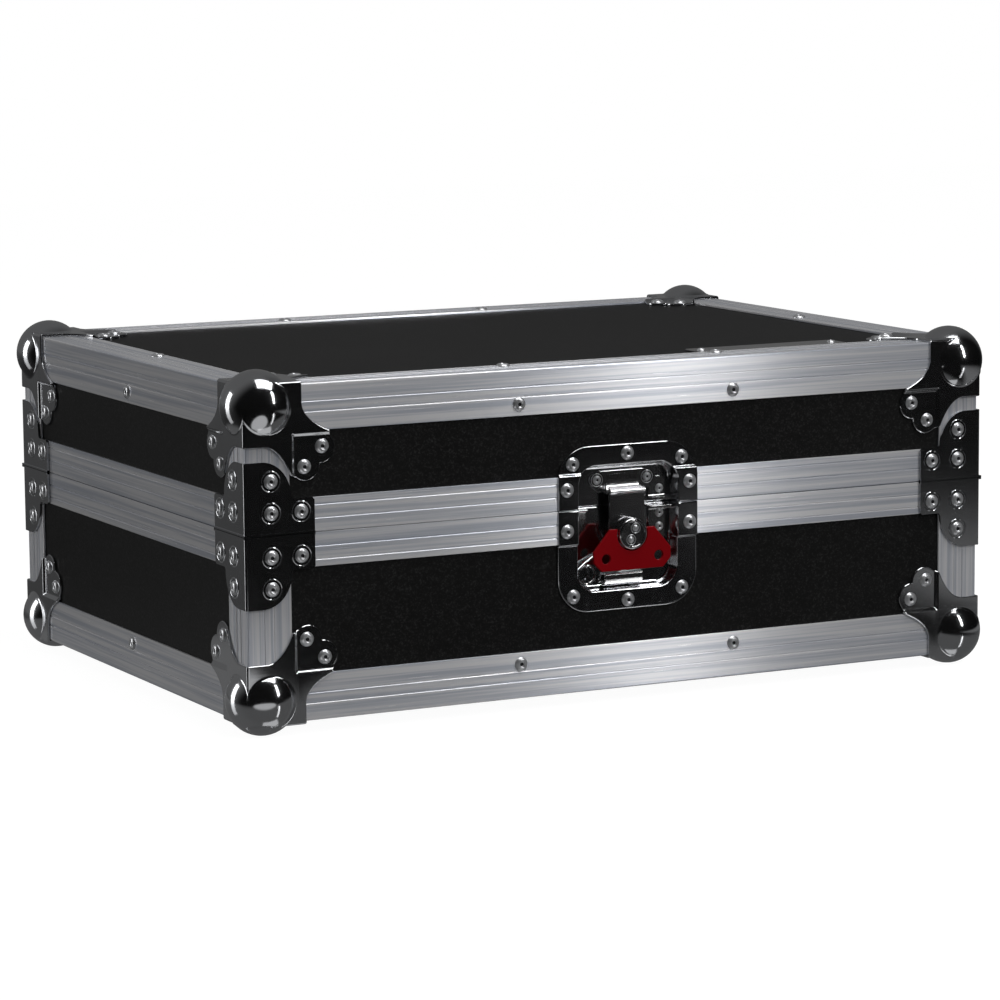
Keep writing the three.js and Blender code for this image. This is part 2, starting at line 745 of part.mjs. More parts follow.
for (const side of ['front', 'rear']) {
  const latch = new THREE.Group();
  latch.position.set(0, -halfDepth, partingHeight);
  walls[side].add(latch);
  place(`${side}_latch_lid_dish`, lidDish(), steel, latch);
  place(`${side}_latch_base_dish`, baseDish(), steel, latch);
  place(`${side}_latch_hook`, hook(), nickel, latch);
  const axle = new THREE.Group();
  axle.position.z = -spindleDrop;
  latch.add(axle);
  place(`${side}_latch_spindle`, spindle(), nickel, axle);
  place(`${side}_latch_handle`, latchHandle(), redPaint, axle);
}

// Carry handle: a pan let into the right end and a bail on two pins in its side walls
function carryDish() {
  const [x, z] = [carryPlateWidth / 2, carryPlateHeight / 2];
  const [insideX, insideZ] = [carryRecessWidth / 2, carryRecessHeight / 2];
  const recess = (margin) => roundedRectangle(
    -insideX - margin,
    insideX + margin,
    -insideZ - margin,
    insideZ + margin,
    carryRecessRadius + margin,
  );
  const flange = uprightSlab(roundedRectangle(-x, x, -z, z, carryPlateRadius), dishShelf, dishShelf + dishSheet);
  const pan = uprightSlab(recess(dishSheet), dishShelf, wallInner);
  const inside = uprightSlab(recess(0), -cutOverrun, dishFloor);
  const pinHole = new THREE.CylinderGeometry(
    bailPinRadius + bailPinPlay,
    bailPinRadius + bailPinPlay,
    carryRecessWidth + 2 * dishSheet + cutOverrun,
    spindleSides,
  );
  pinHole.rotateZ(Math.PI / 2).translate(0, bailDepth, bailPivotRise);
  const heads = [];
  for (const sideX of [carryRivetInset - x, x - carryRivetInset]) {
    for (const sideZ of [carryRivetInset - z, z - carryRivetInset]) {
      heads.push(uprightRivet(sideX, dishShelf, sideZ));
    }
  }
  return cut(join([flange, pan, ...heads]), [inside, solid(pinHole)]);
}

function bail() {
  const outer = carryRecessWidth / 2 - bailSidePlay;
  const inner = outer - bailLegThickness;
  const depth = [bailDepth - bailLegWidth / 2, bailDepth + bailLegWidth / 2];
  const legs = [];
  for (const middle of [(inner + outer) / 2, -(inner + outer) / 2]) {
    const end = new THREE.CylinderGeometry(bailLegWidth / 2, bailLegWidth / 2, bailLegThickness, spindleSides);
    const x = [middle - bailLegThickness / 2, middle + bailLegThickness / 2];
    legs.push(solid(end.rotateZ(Math.PI / 2).translate(middle, bailDepth, bailPivotRise)));
    legs.push(block(x, depth, [-bailGripDrop, bailPivotRise]));
  }
  const pin = new THREE.CylinderGeometry(
    bailPinRadius,
    bailPinRadius,
    carryRecessWidth + 2 * dishSheet,
    spindleSides,
  );
  pin.rotateZ(Math.PI / 2).translate(0, bailDepth, bailPivotRise);
  const between = block([-inner, inner], [-cutOverrun, wallInner], [-bailGripDrop, 2 * bailPivotRise]);
  const grip = new THREE.CylinderGeometry(bailGripRadius, bailGripRadius, 2 * outer, spindleSides);
  grip.rotateZ(Math.PI / 2).translate(0, bailDepth, -bailGripDrop);
  return join([
    solid(pin).subtract(between),
    ...legs,
    solid(grip),
  ]);
}

const carry = new THREE.Group();
carry.position.set(0, -halfWidth, carryHeight);
walls.right.add(carry);
place('carry_handle_dish', carryDish(), steel, carry);
place('carry_handle_bail', bail(), nickel, carry);

// Foam lining: a tray in the base and its counterpart in the lid, both with the player's pocket
const playerFloor = floorTop + fitGap + foamFloor;
const playerTop = ceiling - fitGap - foamRoof;

function foamBlock(z0, z1, pocket) {
  const x = halfWidth - bandInner - fitGap;
  const y = halfDepth - bandInner - fitGap;
  const hollow = block([foamEnds - x, x - foamEnds], [foamSides - y, y - foamSides], pocket);
  return block([-x, x], [-y, y], [z0, z1]).subtract(hollow);
}

const baseFoamTop = partingHeight - foamRim;
const lidFoamBottom = partingHeight + foamRim;
const baseFoam = foamBlock(floorTop + fitGap, baseFoamTop, [playerFloor, baseFoamTop + cutOverrun]);
const lidFoam = foamBlock(lidFoamBottom, ceiling - fitGap, [lidFoamBottom - cutOverrun, playerTop]);
place('base_foam_lining', baseFoam, foam, flightCase);
place('lid_foam_lining', lidFoam, foam, flightCase);

// Label plate on the lid, behind the front edging, left bare
function labelPlate() {
  const [x, y] = [labelWidth / 2, labelDepth / 2];
  const reach = x - labelRivetInset;
  return join([
    slab(roundedRectangle(-x, x, -y, y, labelCornerRadius), 0, labelThickness),
    topRivet(-reach, 0, labelThickness, labelRivetRadius),
    topRivet(reach, 0, labelThickness, labelRivetRadius),
  ]);
}

const label = place('lid_label_plate', labelPlate(), nickel, flightCase);
const labelY = labelSetback + labelDepth / 2 + edgingLeg - halfDepth;
label.position.set(halfWidth - labelEndDistance, labelY, lidPanelTop + fitGap);

export default flightCase;
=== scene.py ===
import math

import bmesh
import bpy
from mathutils import Matrix, Vector


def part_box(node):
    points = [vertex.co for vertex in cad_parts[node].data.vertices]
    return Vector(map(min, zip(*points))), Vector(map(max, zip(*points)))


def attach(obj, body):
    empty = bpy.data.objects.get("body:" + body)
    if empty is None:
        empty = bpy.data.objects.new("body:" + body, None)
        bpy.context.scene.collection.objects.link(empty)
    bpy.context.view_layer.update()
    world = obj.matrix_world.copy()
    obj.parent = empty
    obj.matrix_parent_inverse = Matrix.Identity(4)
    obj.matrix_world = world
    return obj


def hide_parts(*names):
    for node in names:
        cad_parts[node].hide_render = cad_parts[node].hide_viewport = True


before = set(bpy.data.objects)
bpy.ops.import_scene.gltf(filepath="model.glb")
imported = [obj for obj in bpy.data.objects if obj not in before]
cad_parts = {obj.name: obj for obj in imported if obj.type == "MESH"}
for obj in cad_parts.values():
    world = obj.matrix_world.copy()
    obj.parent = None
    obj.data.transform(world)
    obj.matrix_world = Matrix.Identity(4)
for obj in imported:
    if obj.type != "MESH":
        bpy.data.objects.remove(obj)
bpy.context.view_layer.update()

# Camera: level with the lid and a little to the left of the front, with a long lens, as the
# photograph was taken. Its place comes from fitting the case's own corners.
CAMERA_PLACE = Vector((-1.248549, -2.485663, 0.508648))
CAMERA_AZIMUTH = math.radians(-26.7743)
CAMERA_ELEVATION = math.radians(8.1874)
CAMERA_ROLL = math.radians(-0.5189)
CAMERA_LENS = 145.642
CAMERA_SENSOR = 36

camera = bpy.data.objects.new("camera", bpy.data.cameras.new("camera"))
camera.data.lens = CAMERA_LENS
camera.data.sensor_width = CAMERA_SENSOR
camera.matrix_world = (
    Matrix.Translation(CAMERA_PLACE)
    @ Matrix.Rotation(CAMERA_AZIMUTH, 4, "Z")
    @ Matrix.Rotation(math.pi / 2 - CAMERA_ELEVATION, 4, "X")
    @ Matrix.Rotation(CAMERA_ROLL, 4, "Z")
)
bpy.context.scene.collection.objects.link(camera)
bpy.context.scene.camera = camera
bpy.context.scene.view_settings.view_transform = "Standard"

# Studio: a white sweep, which the camera sees as plain white. The room above its horizon only shows
# as dim reflections in the metal: dark behind the camera, and a grey wall behind the case.
HORIZON = (-0.06, -0.1)
WALL_GREY = 0.12
WALL_DARK = 0.004
WALL_SIDE = (-0.15, 0.85, 0.5)
WALL_EDGE = (0.1, 0.75)
AMBIENT_LIGHT = 0.26


class Shader:
    """A material's or the world's node tree, with short calls to add and join nodes."""

    def __init__(self, owner):
        owner.use_nodes = True
        self.tree = owner.node_tree
        self.tree.nodes.clear()

    def add(self, kind, inputs=(), **settings):
        node = self.tree.nodes.new("ShaderNode" + kind)
        for name, value in settings.items():
            setattr(node, name, value)
        for socket, value in dict(inputs).items():
            if isinstance(value, bpy.types.NodeSocket):
                self.tree.links.new(value, node.inputs[socket])
            else:
                node.inputs[socket].default_value = value
        return node

    def math(self, operation, *values):
        return self.add("Math", dict(enumerate(values)), operation=operation).outputs[0]

    def vector(self, operation, *values):
        return self.add("VectorMath", dict(enumerate(values)), operation=operation).outputs

    def between(self, value, low, high):
        """0 on low's side and 1 on high's side, smooth between them."""
        inputs = {"Value": value, "From Min": low, "From Max": high}
        return self.add("MapRange", inputs, interpolation_type="SMOOTHSTEP").outputs[0]

    def mix(self, factor, a, b):
        """A colour between a and b."""
        return self.add("Mix", {"Factor": factor, 6: a, 7: b}, data_type="RGBA").outputs[2]

    def rays(self):
        """Whether a ray is the camera's own, and whether it comes off metal or through glass."""
        path = self.add("LightPath").outputs
        shiny = self.math("MAXIMUM", path["Is Glossy Ray"], path["Is Transmission Ray"])
        return path["Is Camera Ray"], shiny

    def place(self):
        return self.add("TexCoord").outputs["Object"]

    def noise(self, where, scale, detail, roughness=0.5):
        inputs = {"Vector": where, "Scale": scale, "Detail": detail, "Roughness": roughness}
        return self.add("TexNoise", inputs).outputs["Fac"]

    def bump(self, height, strength, depth):
        inputs = {"Height": height, "Strength": strength, "Distance": depth}
        return self.add("Bump", inputs).outputs[0]

    def surface(self, inputs):
        """Ends the tree with a surface that has these inputs."""
        coat = self.add("BsdfPrincipled", inputs)
        self.add("OutputMaterial", {"Surface": coat.outputs[0]})


def grey(value):
    return (value, value, value, 1)


world = bpy.data.worlds.new("studio")
bpy.context.scene.world = world
studio = Shader(world)
direction = studio.add("TexCoord").outputs["Generated"]
rise = studio.add("SeparateXYZ", {0: direction}).outputs["Z"]
camera_ray, shiny_ray = studio.rays()
low_ray = studio.math("MULTIPLY", shiny_ray, studio.between(rise, *HORIZON))
sees_sweep = studio.math("MAXIMUM", camera_ray, low_ray)
to_wall = studio.vector("DOT_PRODUCT", direction, WALL_SIDE)["Value"]
room = studio.mix(studio.between(to_wall, *WALL_EDGE), grey(WALL_DARK), grey(WALL_GREY))
walls = studio.mix(shiny_ray, grey(AMBIENT_LIGHT), room)
sky = studio.add("Background", {"Color": studio.mix(sees_sweep, walls, grey(1)), "Strength": 1})
studio.add("OutputWorld", {"Surface": sky.outputs[0]})

# Floor: white board under the case. The glow of its paint only shows to the camera and in the metal,
# so the case's soft shadow is just seen on it.
BOARD_SIZE = 9
FLOOR_DROP = 0.0004
FLOOR_GLOW = 0.96
FLOOR_COLOUR = 0.14


def link(name, mesh):
    thing = bpy.data.objects.new(name, mesh)
    bpy.context.scene.collection.objects.link(thing)
    return thing


def keep(body, name):
    """Turns a body being worked on into a mesh."""
    mesh = bpy.data.meshes.new(name)
    body.to_mesh(mesh)
    body.free()
    return mesh


def new_finish(name):
    material = bpy.data.materials.new(name)
    return material, Shader(material)


def flat_board(name, height, material):
    board = bmesh.new()
    bmesh.ops.create_grid(board, x_segments=1, y_segments=1, size=BOARD_SIZE / 2)
    bmesh.ops.translate(board, verts=board.verts, vec=(0, 0, height))
    made = link(name, keep(board, name))
    made.data.materials.append(material)
    return made


pale_floor, paint = new_finish("pale_floor")
seen = paint.math("MAXIMUM", *paint.rays())
glow = paint.add("Emission", {"Color": grey(1), "Strength": paint.math("MULTIPLY", seen, FLOOR_GLOW)})
white = paint.add("BsdfDiffuse", {"Color": grey(FLOOR_COLOUR)})
both = paint.add("AddShader", {0: glow.outputs[0], 1: white.outputs[0]})
paint.add("OutputMaterial", {"Surface": both.outputs[0]})
flat_board("floor", -FLOOR_DROP, pale_floor)

# Black acrylic laid over the board, only as the metal sees it: the polished plates are dark because
# they reflect it. Painted glows on it, seen only as painted reflections in the metal, make it greyer at
# the case's foot and to the right, and make a pale card-shaped patch at the left.
# A glow has a middle, a size, where its edge starts and ends in shares of the size, and a strength.
ACRYLIC_LIFT = 0.0002
ACRYLIC_BLACK = 0.004
ACRYLIC_DULL = 0.05
ACRYLIC_GLOSS = 2.1
CARD_GLOW = ((-0.29, -0.46, 0), (0.12, 0.22, 1), (1.04, 0.9), 0.5)
FOOT_GLOW = ((0, 0, 0), (0.45, 0.36, 1), (1.15, 0.9), 0.09)
RIGHT_GLOW = ((0, 0, 0), (1, 1, 1), (1.3, 0.6), 0.15)
RIGHT_START = (0.34, 0.46)

black_acrylic, sheet = new_finish("black_acrylic")
spot = sheet.place()


def pool(middle, size, edge, strength):
    share = sheet.vector("DIVIDE", sheet.vector("SUBTRACT", spot, middle)[0], size)[0]
    reach = sheet.vector("LENGTH", share)["Value"]
    return sheet.math("MULTIPLY", sheet.between(reach, *edge), strength)


sideways = sheet.between(sheet.add("SeparateXYZ", {0: spot}).outputs["X"], *RIGHT_START)
right = sheet.math("MULTIPLY", pool(*RIGHT_GLOW), sideways)
ground = sheet.math("MAXIMUM", pool(*FOOT_GLOW), right)
# The sheet's emission is painted light: glows at the foot, to the right and in the card patch, which the
# metal shows as painted reflections.
sheet.surface({
    "Base Color": grey(ACRYLIC_BLACK),
    "Roughness": ACRYLIC_DULL,
    "IOR": ACRYLIC_GLOSS,
    "Emission Color": grey(1),
    "Emission Strength": sheet.math("MAXIMUM", pool(*CARD_GLOW), ground),
})
acrylic = flat_board("black_acrylic", ACRYLIC_LIFT, black_acrylic)
for kind in ("camera", "diffuse", "transmission", "shadow"):
    setattr(acrylic, f"visible_{kind}", False)

# Lamps: a wide softbox overhead, whose sheen runs down the bars, a leaning strip at the right that
# lights their brightest stretch, a strip at the left, and a front fill that the metal doesn't show.
# Each has a place, a target, a width and height, a power in watts and a lean in degrees.
LAMPS = {
    "top_softbox": ((0.21, -0.52, 1.5), (0.13, -0.26, 0), (1.04, 0.75), 9.5, -27),
    "right_strip": ((0.9944, -1.709114, 1.114417), (0, -0.1, 0.15), (0.13, 1.25), 6, -8),
    "left_strip": ((-1.95, 1, 0.55), (-0.2, 0, 0.15), (0.6, 1.3), 7.5, 0),
    "front_fill": ((0.4, -2.3, 1.5), (0, 0, 0.1), (1.5, 1.2), 17, 0),
}

for name, (place, target, size, watts, lean) in LAMPS.items():
    lamp = bpy.data.lights.new(name, "AREA")
    lamp.shape = "RECTANGLE"
    lamp.size, lamp.size_y = size
    lamp.energy = watts
    aim = (Vector(target) - Vector(place)).to_track_quat("-Z", "Y").to_matrix().to_4x4()
    made = link(name, lamp)
    made.matrix_world = Matrix.Translation(place) @ aim @ Matrix.Rotation(math.radians(lean), 4, "Z")
    made.visible_glossy = name != "front_fill"

# Panels: birch plywood under a black phenolic laminate with a fine pebbled face, cut square and let
# into the extrusions. The frame's own sheets are right, so they only get the finish.
LAMINATE_BLACK = 0.0028
LAMINATE_FLECK = 0.022
CLOUD_SHARE = 1.5
CLOUD_SCALE = 7
FLECK_SCALE = 800
PEBBLE_SCALE = 900
PEBBLE_DEPTH = 0.00012

laminate, skin = new_finish("black_laminate")
where = skin.place()
pebbles = skin.noise(where, PEBBLE_SCALE, 3, 0.6)
fleck = skin.between(skin.noise(where, FLECK_SCALE, 3, 0.7), 0.5, 0.68)
cloud = skin.between(skin.noise(where, CLOUD_SCALE, 3), 0.35, 0.7)
ground = skin.mix(cloud, grey(LAMINATE_BLACK), grey(LAMINATE_BLACK * CLOUD_SHARE))
skin.surface({
    "Base Color": skin.mix(fleck, ground, grey(LAMINATE_FLECK)),
    "Roughness": skin.math("MULTIPLY_ADD", pebbles, 0.18, 0.4),
    "Specular IOR Level": 0.22,
    "Normal": skin.bump(pebbles, 0.35, PEBBLE_DEPTH),
})
for name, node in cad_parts.items():
    if name.endswith("_panel"):
        node.data.materials.clear()
        node.data.materials.append(laminate)

# Edging: aluminium angle, drawn with two grooves along each leg, sawn to length and riveted through
# its wall leg, and on the lid through its top leg too. Its face has the fine lines of the die, which
# spread a lamp's sheen across the bar.
# From here on, lengths are in millimetres.
M = 1000
PARTING_GAP = 0.4
PANEL_SETBACK = 1.8
ring_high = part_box("base_location_profile")[1]
HALF_WIDTH = ring_high.x * M
HALF_DEPTH = ring_high.y * M
PARTING = ring_high.z * M + PARTING_GAP / 2
EDGE_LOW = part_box("base_front_edging")[0].z * M
EDGE_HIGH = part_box("lid_top_panel")[1].z * M + PANEL_SETBACK
EDGING_LEG = 30
EDGING_WALL = 1.5
EDGING_GROOVES = (11.2, 17.8)
GROOVE_WIDTH = 1.2
GROOVE_DEPTH = 0.52
ARRIS_RADIUS = 1.1
FREE_EDGE_RADIUS = 0.5
CORNER_STOP = 30.3
EDGING_RIVET_SPREAD = 79
EDGING_RIVET_INSET = 22.5
ALUMINIUM_COLOUR = (0.6, 0.63, 0.7, 1)
ALUMINIUM_STREAK = (0.9, 0.9, 0.92, 1)
ALUMINIUM_SCUFF = (0.5, 0.5, 0.53, 1)
DIE_LINES = "die_lines"
NEAR = 0.01
HALVES = (("base", EDGE_LOW, 1), ("lid", EDGE_HIGH, -1))
WALLS = {
    "front": (0, HALF_DEPTH, HALF_WIDTH),
    "right": (math.pi / 2, HALF_WIDTH, HALF_DEPTH),
    "rear": (math.pi, HALF_DEPTH, HALF_WIDTH),
    "left": (-math.pi / 2, HALF_WIDTH, HALF_DEPTH),
}

aluminium, skin = new_finish("drawn_aluminium")
drawn = skin.add("UVMap", uv_map=DIE_LINES).outputs[0]


def streaks(along, across):
    """Streaks along the bar, by how many there are to a metre each way."""
    stretched = skin.add("Mapping", {"Vector": drawn, "Scale": (along, across, 1)}).outputs[0]
    return skin.noise(stretched, 1, 4, 0.6)


hair = streaks(5, 2600)
bright = skin.between(streaks(3, 260), 0.36, 0.6)
scuff = skin.between(streaks(9, 900), 0.62, 0.8)
streaked = skin.mix(bright, ALUMINIUM_COLOUR, ALUMINIUM_STREAK)
skin.surface({
    "Base Color": skin.mix(scuff, streaked, ALUMINIUM_SCUFF),
    "Metallic": 0.6,
    "Roughness": skin.math("MULTIPLY_ADD", hair, 0.06, skin.math("MULTIPLY_ADD", scuff, 0.08, 0.22)),
    "Anisotropic": 1,
    "Anisotropic Rotation": 0.25,
    "Tangent": skin.add("Tangent", direction_type="UV_MAP", uv_map=DIE_LINES).outputs[0],
    "Normal": skin.bump(hair, 0.12, 0.00004),
})


def of_kind(parts, kind=bmesh.types.BMVert):
    return [part for part in parts if isinstance(part, kind)]


def drawn_out(outline, way):
    """A solid from a flat outline of places, drawn out that way."""
    body = bmesh.new()
    face = body.faces.new([body.verts.new(place) for place in outline])
    far_end = bmesh.ops.extrude_face_region(body, geom=[face])["geom"]
    bmesh.ops.translate(body, verts=of_kind(far_end), vec=way)
    bmesh.ops.recalc_face_normals(body, faces=body.faces)
    return body


def bar(profile, start, end):
    """A bar along X with that profile, which is a list of (y, z) points."""
    return drawn_out([(start, y, z) for y, z in profile], (end - start, 0, 0))


def round_edges(body, radius, segments, wanted):
    """Rounds the edges that wanted(edge) picks."""
    bmesh.ops.bevel(
        body, geom=[edge for edge in body.edges if wanted(edge)], offset=radius, segments=segments,
        profile=0.5, affect="EDGES", material=-1, clamp_overlap=True,
    )


def runs_along_x(edge, y, z):
    return all(abs(end.co.y - y) < NEAR and abs(end.co.z - z) < NEAR for end in edge.verts)


def mark_die_lines(body):
    """The lines run along X, as the bar was drawn."""
    layer = body.loops.layers.uv.new(DIE_LINES)
    for face in body.faces:
        for corner in face.loops:
            place = corner.vert.co
            corner[layer].uv = (place.x / M, (place.y + place.z) / M)


def groove(place):
    half = GROOVE_WIDTH / 2
    return [(place - half, 0), (place, GROOVE_DEPTH), (place + half, 0)]


def angle_bar(half_length):
    grooves = [point for place in EDGING_GROOVES for point in groove(place)]
    leg, wall = EDGING_LEG, EDGING_WALL
    inner = [(leg, 0), (leg, wall), (wall, wall), (wall, leg), (0, leg)]
    profile = [(0, 0), *grooves, *inner, *[(depth, place) for place, depth in reversed(grooves)]]
    body = bar(profile, -half_length, half_length)
    round_edges(body, ARRIS_RADIUS, 4, lambda edge: runs_along_x(edge, 0, 0))
    for y, z in ((leg, 0), (0, leg)):
        round_edges(body, FREE_EDGE_RADIUS, 2, lambda edge: runs_along_x(edge, y, z))
    mark_die_lines(body)
    return body


def move(body, matrix):
    """Puts the body in place and keeps its faces outwards, also in a mirror image."""
    bmesh.ops.transform(body, matrix=matrix, verts=body.verts)
    if matrix.determinant() < 0:
        bmesh.ops.reverse_faces(body, faces=body.faces)
    return body


def copied(pattern):
    body = bmesh.new()
    body.from_mesh(pattern)
    return body


def add_body(body, part):
    """Adds a second body to the same piece."""
    mesh = keep(part, "part")
    body.from_mesh(mesh)
    bpy.data.meshes.remove(mesh)


def finish_piece(name, body, place, materials, carrier, node=None, crease=35):
    """Sets a piece in place, shades it and hangs it on its body, for a frame node if one is given."""
    move(body, place)
    bmesh.ops.scale(body, vec=(1 / M, 1 / M, 1 / M), verts=body.verts)
    mesh = keep(body, name)
    for material in materials:
        mesh.materials.append(material)
    mesh.shade_smooth()
    mesh.set_sharp_from_angle(angle=math.radians(crease))
    piece = link(name, mesh)
    even = piece.modifiers.new("even_faces", "WEIGHTED_NORMAL")
    even.keep_sharp = True
    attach(piece, carrier)
    if node:
        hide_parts(node)
    return piece


def wall_matrix(side, height):
    turn, out, _ = WALLS[side]
    return Matrix.Rotation(turn, 4, "Z") @ Matrix.Translation((0, -out, height))


# Rivets: domed heads of bright zinc plated steel with the small hole that the pulled mandrel leaves.
# They are set with a gun, so each sits flat on its plate. The shape is given as radius and height.
MANDREL_RADIUS = 1.25
RIVET_SHAPE = (
    (0, 0.51), (1, 0.51), (MANDREL_RADIUS, 1.054), (1.875, 1.258), (2.1875, 1.632), (2.726, 1.7),
    (3.478, 1.462), (4.089, 0.986), (4.512, 0.442), (4.7, 0.085), (4.7, -0.68), (0, -0.68),
)
SMALL_RIVET_SHARE = 0.64
UPWARDS = Matrix.Identity(4)
DOWNWARDS = Matrix.Rotation(math.pi, 4, "X")
OUT_OF_WALL = Matrix.Rotation(math.pi / 2, 4, "X")


def metal_finish(name, colour, dull, mottle, tarnish=0.0, metallic=1.0):
    """Plated steel: its gloss wanders a little, and it may have a few dull specks."""
    material, skin = new_finish(name)
    where = skin.place()
    speck = skin.math("MULTIPLY", skin.between(skin.noise(where, 700, 3, 0.7), 0.6, 0.72), tarnish)
    cloud = skin.math("MULTIPLY_ADD", skin.noise(where, 55, 4), mottle, dull)
    skin.surface({
        "Base Color": skin.mix(speck, (*colour, 1), (*[0.6 * part for part in colour], 1)),
        "Metallic": metallic,
        "Roughness": skin.math("MULTIPLY_ADD", speck, 0.3, cloud),
        "Normal": skin.bump(skin.noise(where, 90, 2), 0.05, 0.0004),
    })
    return material


zinc = metal_finish("zinc_rivet", (0.76, 0.77, 0.79), 0.26, 0.08, 0.15, 0.85)
# Near-black painted shade for the rivet's hole, which is modelled only as a shallow recess.
hole_shade = metal_finish("painted_hole_shade", (0.07, 0.07, 0.075), 0.45, 0.1)


def turned(profile, steps):
    """A body turned about Z from (radius, height) points, from axis to axis or round in a loop."""
    body = bmesh.new()
    verts = [body.verts.new((radius, 0, height)) for radius, height in profile]
    edges = [body.edges.new(pair) for pair in zip(verts, verts[1:])]
    bmesh.ops.spin(
        body, geom=verts + edges, cent=(0, 0, 0), axis=(0, 0, 1), angle=2 * math.pi, steps=steps,
        use_merge=True,
    )
    bmesh.ops.remove_doubles(body, verts=body.verts, dist=0.0005)
    bmesh.ops.recalc_face_normals(body, faces=body.faces)
    return body


def rivet_head():
    """A head whose hole is in the second material, near black: painted shade for the depth of the hole.
    """
    body = turned(RIVET_SHAPE, 20)
    for face in body.faces:
        middle = face.calc_center_median()
        face.material_index = int(math.hypot(middle.x, middle.y) < MANDREL_RADIUS and middle.z > 0)
    return keep(body, "rivet")


RIVET = rivet_head()


def set_rivets(body, places, facing=OUT_OF_WALL, share=1.0, pattern=RIVET):
    """Adds a head at each place, turned by facing so that it looks out of its plate."""
    for place in places:
        head = Matrix.Translation(place) @ facing @ Matrix.Scale(share, 4)
        add_body(body, move(copied(pattern), head))
    return body


def finish_rivets(name, heads, place, carrier):
    finish_piece(f"{name}_rivets", heads, place, [zinc, hole_shade], carrier)


for side, (_, _, half) in WALLS.items():
    spread = (-EDGING_RIVET_SPREAD, EDGING_RIVET_SPREAD) if half == HALF_WIDTH else (0,)
    for shell, height, up in HALVES:
        node = f"{shell}_{side}_edging"
        place = wall_matrix(side, height)
        body = move(angle_bar(half - CORNER_STOP), Matrix.Scale(up, 4, (0, 0, 1)))
        finish_piece(f"{node}_bar", body, place, [aluminium], shell, node)
        heads = set_rivets(bmesh.new(), [(x, 0, up * EDGING_RIVET_INSET) for x in spread])
        if shell == "lid":
            set_rivets(heads, [(x, EDGING_RIVET_INSET, 0) for x in spread], UPWARDS)
        finish_rivets(node, heads, place, shell)

# Upright corners: the same angle, standing between the ball corner and the location extrusion. The
# plates over its two ends hold it, so it has no rivets of its own.
POST_GAP = 0.3
BAND_HEIGHT = 22
CORNERS = {"front_left": (-1, -1), "front_right": (1, -1), "rear_left": (-1, 1), "rear_right": (1, 1)}
STANDING = Matrix(((0, 1, 0, 0), (0, 0, 1, 0), (1, 0, 0, 0), (0, 0, 0, 1)))


def corner_matrix(corner, height, up):
    """From a corner drawn with its axes into the case to its place on the case."""
    x, y = CORNERS[corner]
    place = Matrix.Translation((x * HALF_WIDTH, y * HALF_DEPTH, height))
    return place @ Matrix.Diagonal((-x, -y, up, 1))


for corner in CORNERS:
    for shell, height, up in HALVES:
        node = f"{shell}_{corner}_post"
        length = abs(PARTING - height) - BAND_HEIGHT - POST_GAP - CORNER_STOP
        stand = Matrix.Translation((0, 0, CORNER_STOP + length / 2)) @ STANDING
        place = corner_matrix(corner, height, up) @ stand
        body = angle_bar(length / 2)
        finish_piece(f"{node}_angle", body, place, [aluminium], shell, node)

# Location extrusion: tongue on the lid, groove in the base, each in four mitred lengths joined into
# a frame. The front and back lengths are cut through for the latch dish.
BAND_GROOVES = (8.9, 17.4)
BAND_INNER = 12.3
BAND_EDGE_RADIUS = 0.35
INNER_LEG = 1.2
BASE_WEB = 9
LID_WEB = 4
TONGUE_WIDTH = 3.5
TONGUE_LENGTH = 6.5
TONGUE_PLAY = 0.5
MITRE_GAP = 0.05
LATCH_HOLE_HALF = 39
HALF_GAP = PARTING_GAP / 2


def band_profile(sign, web, play):
    """The section as (y, z), down from the parting line or up, with the tongue or its wider slot."""
    near, far = sign * HALF_GAP, sign * BAND_HEIGHT
    floor = near + sign * web
    inner = BAND_INNER - INNER_LEG
    low = (BAND_INNER - TONGUE_WIDTH) / 2 - play
    high = (BAND_INNER + TONGUE_WIDTH) / 2 + play
    tip = -TONGUE_LENGTH - play
    grooves = [(depth, sign * z) for place in BAND_GROOVES for z, depth in groove(place)]
    outer = [(0, near), *grooves, (0, far), (EDGING_WALL, far), (EDGING_WALL, floor)]
    inner_leg = [(inner, floor), (inner, far), (BAND_INNER, far), (BAND_INNER, near)]
    return [*outer, *inner_leg, (high, near), (high, tip), (low, tip), (low, near)]


def split(body, place, normal, **clear):
    """Cuts the faces along a plane, clears a side if asked, and returns what lies on the cut."""
    return bmesh.ops.bisect_plane(
        body, geom=body.verts[:] + body.edges[:] + body.faces[:], dist=0.0001, plane_co=place,
        plane_no=normal, **clear,
    )["geom_cut"]


def mitred(profile, half, hole):
    """One side of the frame, with its ends cut at 45 degrees and open in the middle for the latch."""
    heights = (-BAND_HEIGHT, BAND_HEIGHT, -HALF_GAP, HALF_GAP)
    whole = bmesh.new()
    for start, end in [(-half, -hole), (hole, half)] if hole else [(-half, half)]:
        length = bar(profile, start, end)
        round_edges(length, BAND_EDGE_RADIUS, 2, lambda edge: any(
            runs_along_x(edge, 0, z) for z in heights
        ))
        for way in (1, -1):
            cut = split(length, (way * (MITRE_GAP - half), 0, 0), (way, -1, 0), clear_inner=True)
            rim = of_kind(cut, bmesh.types.BMEdge)
            if rim:
                bmesh.ops.edgenet_fill(length, edges=rim)
        bmesh.ops.recalc_face_normals(length, faces=length.faces)
        mark_die_lines(length)
        add_body(whole, length)
    return whole


for shell, profile in (
    ("base", band_profile(-1, BASE_WEB, TONGUE_PLAY)),
    ("lid", band_profile(1, LID_WEB, 0)),
):
    ring = bmesh.new()
    for side, (_, _, half) in WALLS.items():
        hole = LATCH_HOLE_HALF if half == HALF_WIDTH else 0
        add_body(ring, move(mitred(profile, half, hole), wall_matrix(side, PARTING)))
    node = f"{shell}_location_profile"
    finish_piece(f"{node}_frame", ring, Matrix.Identity(4), [aluminium], shell, node)

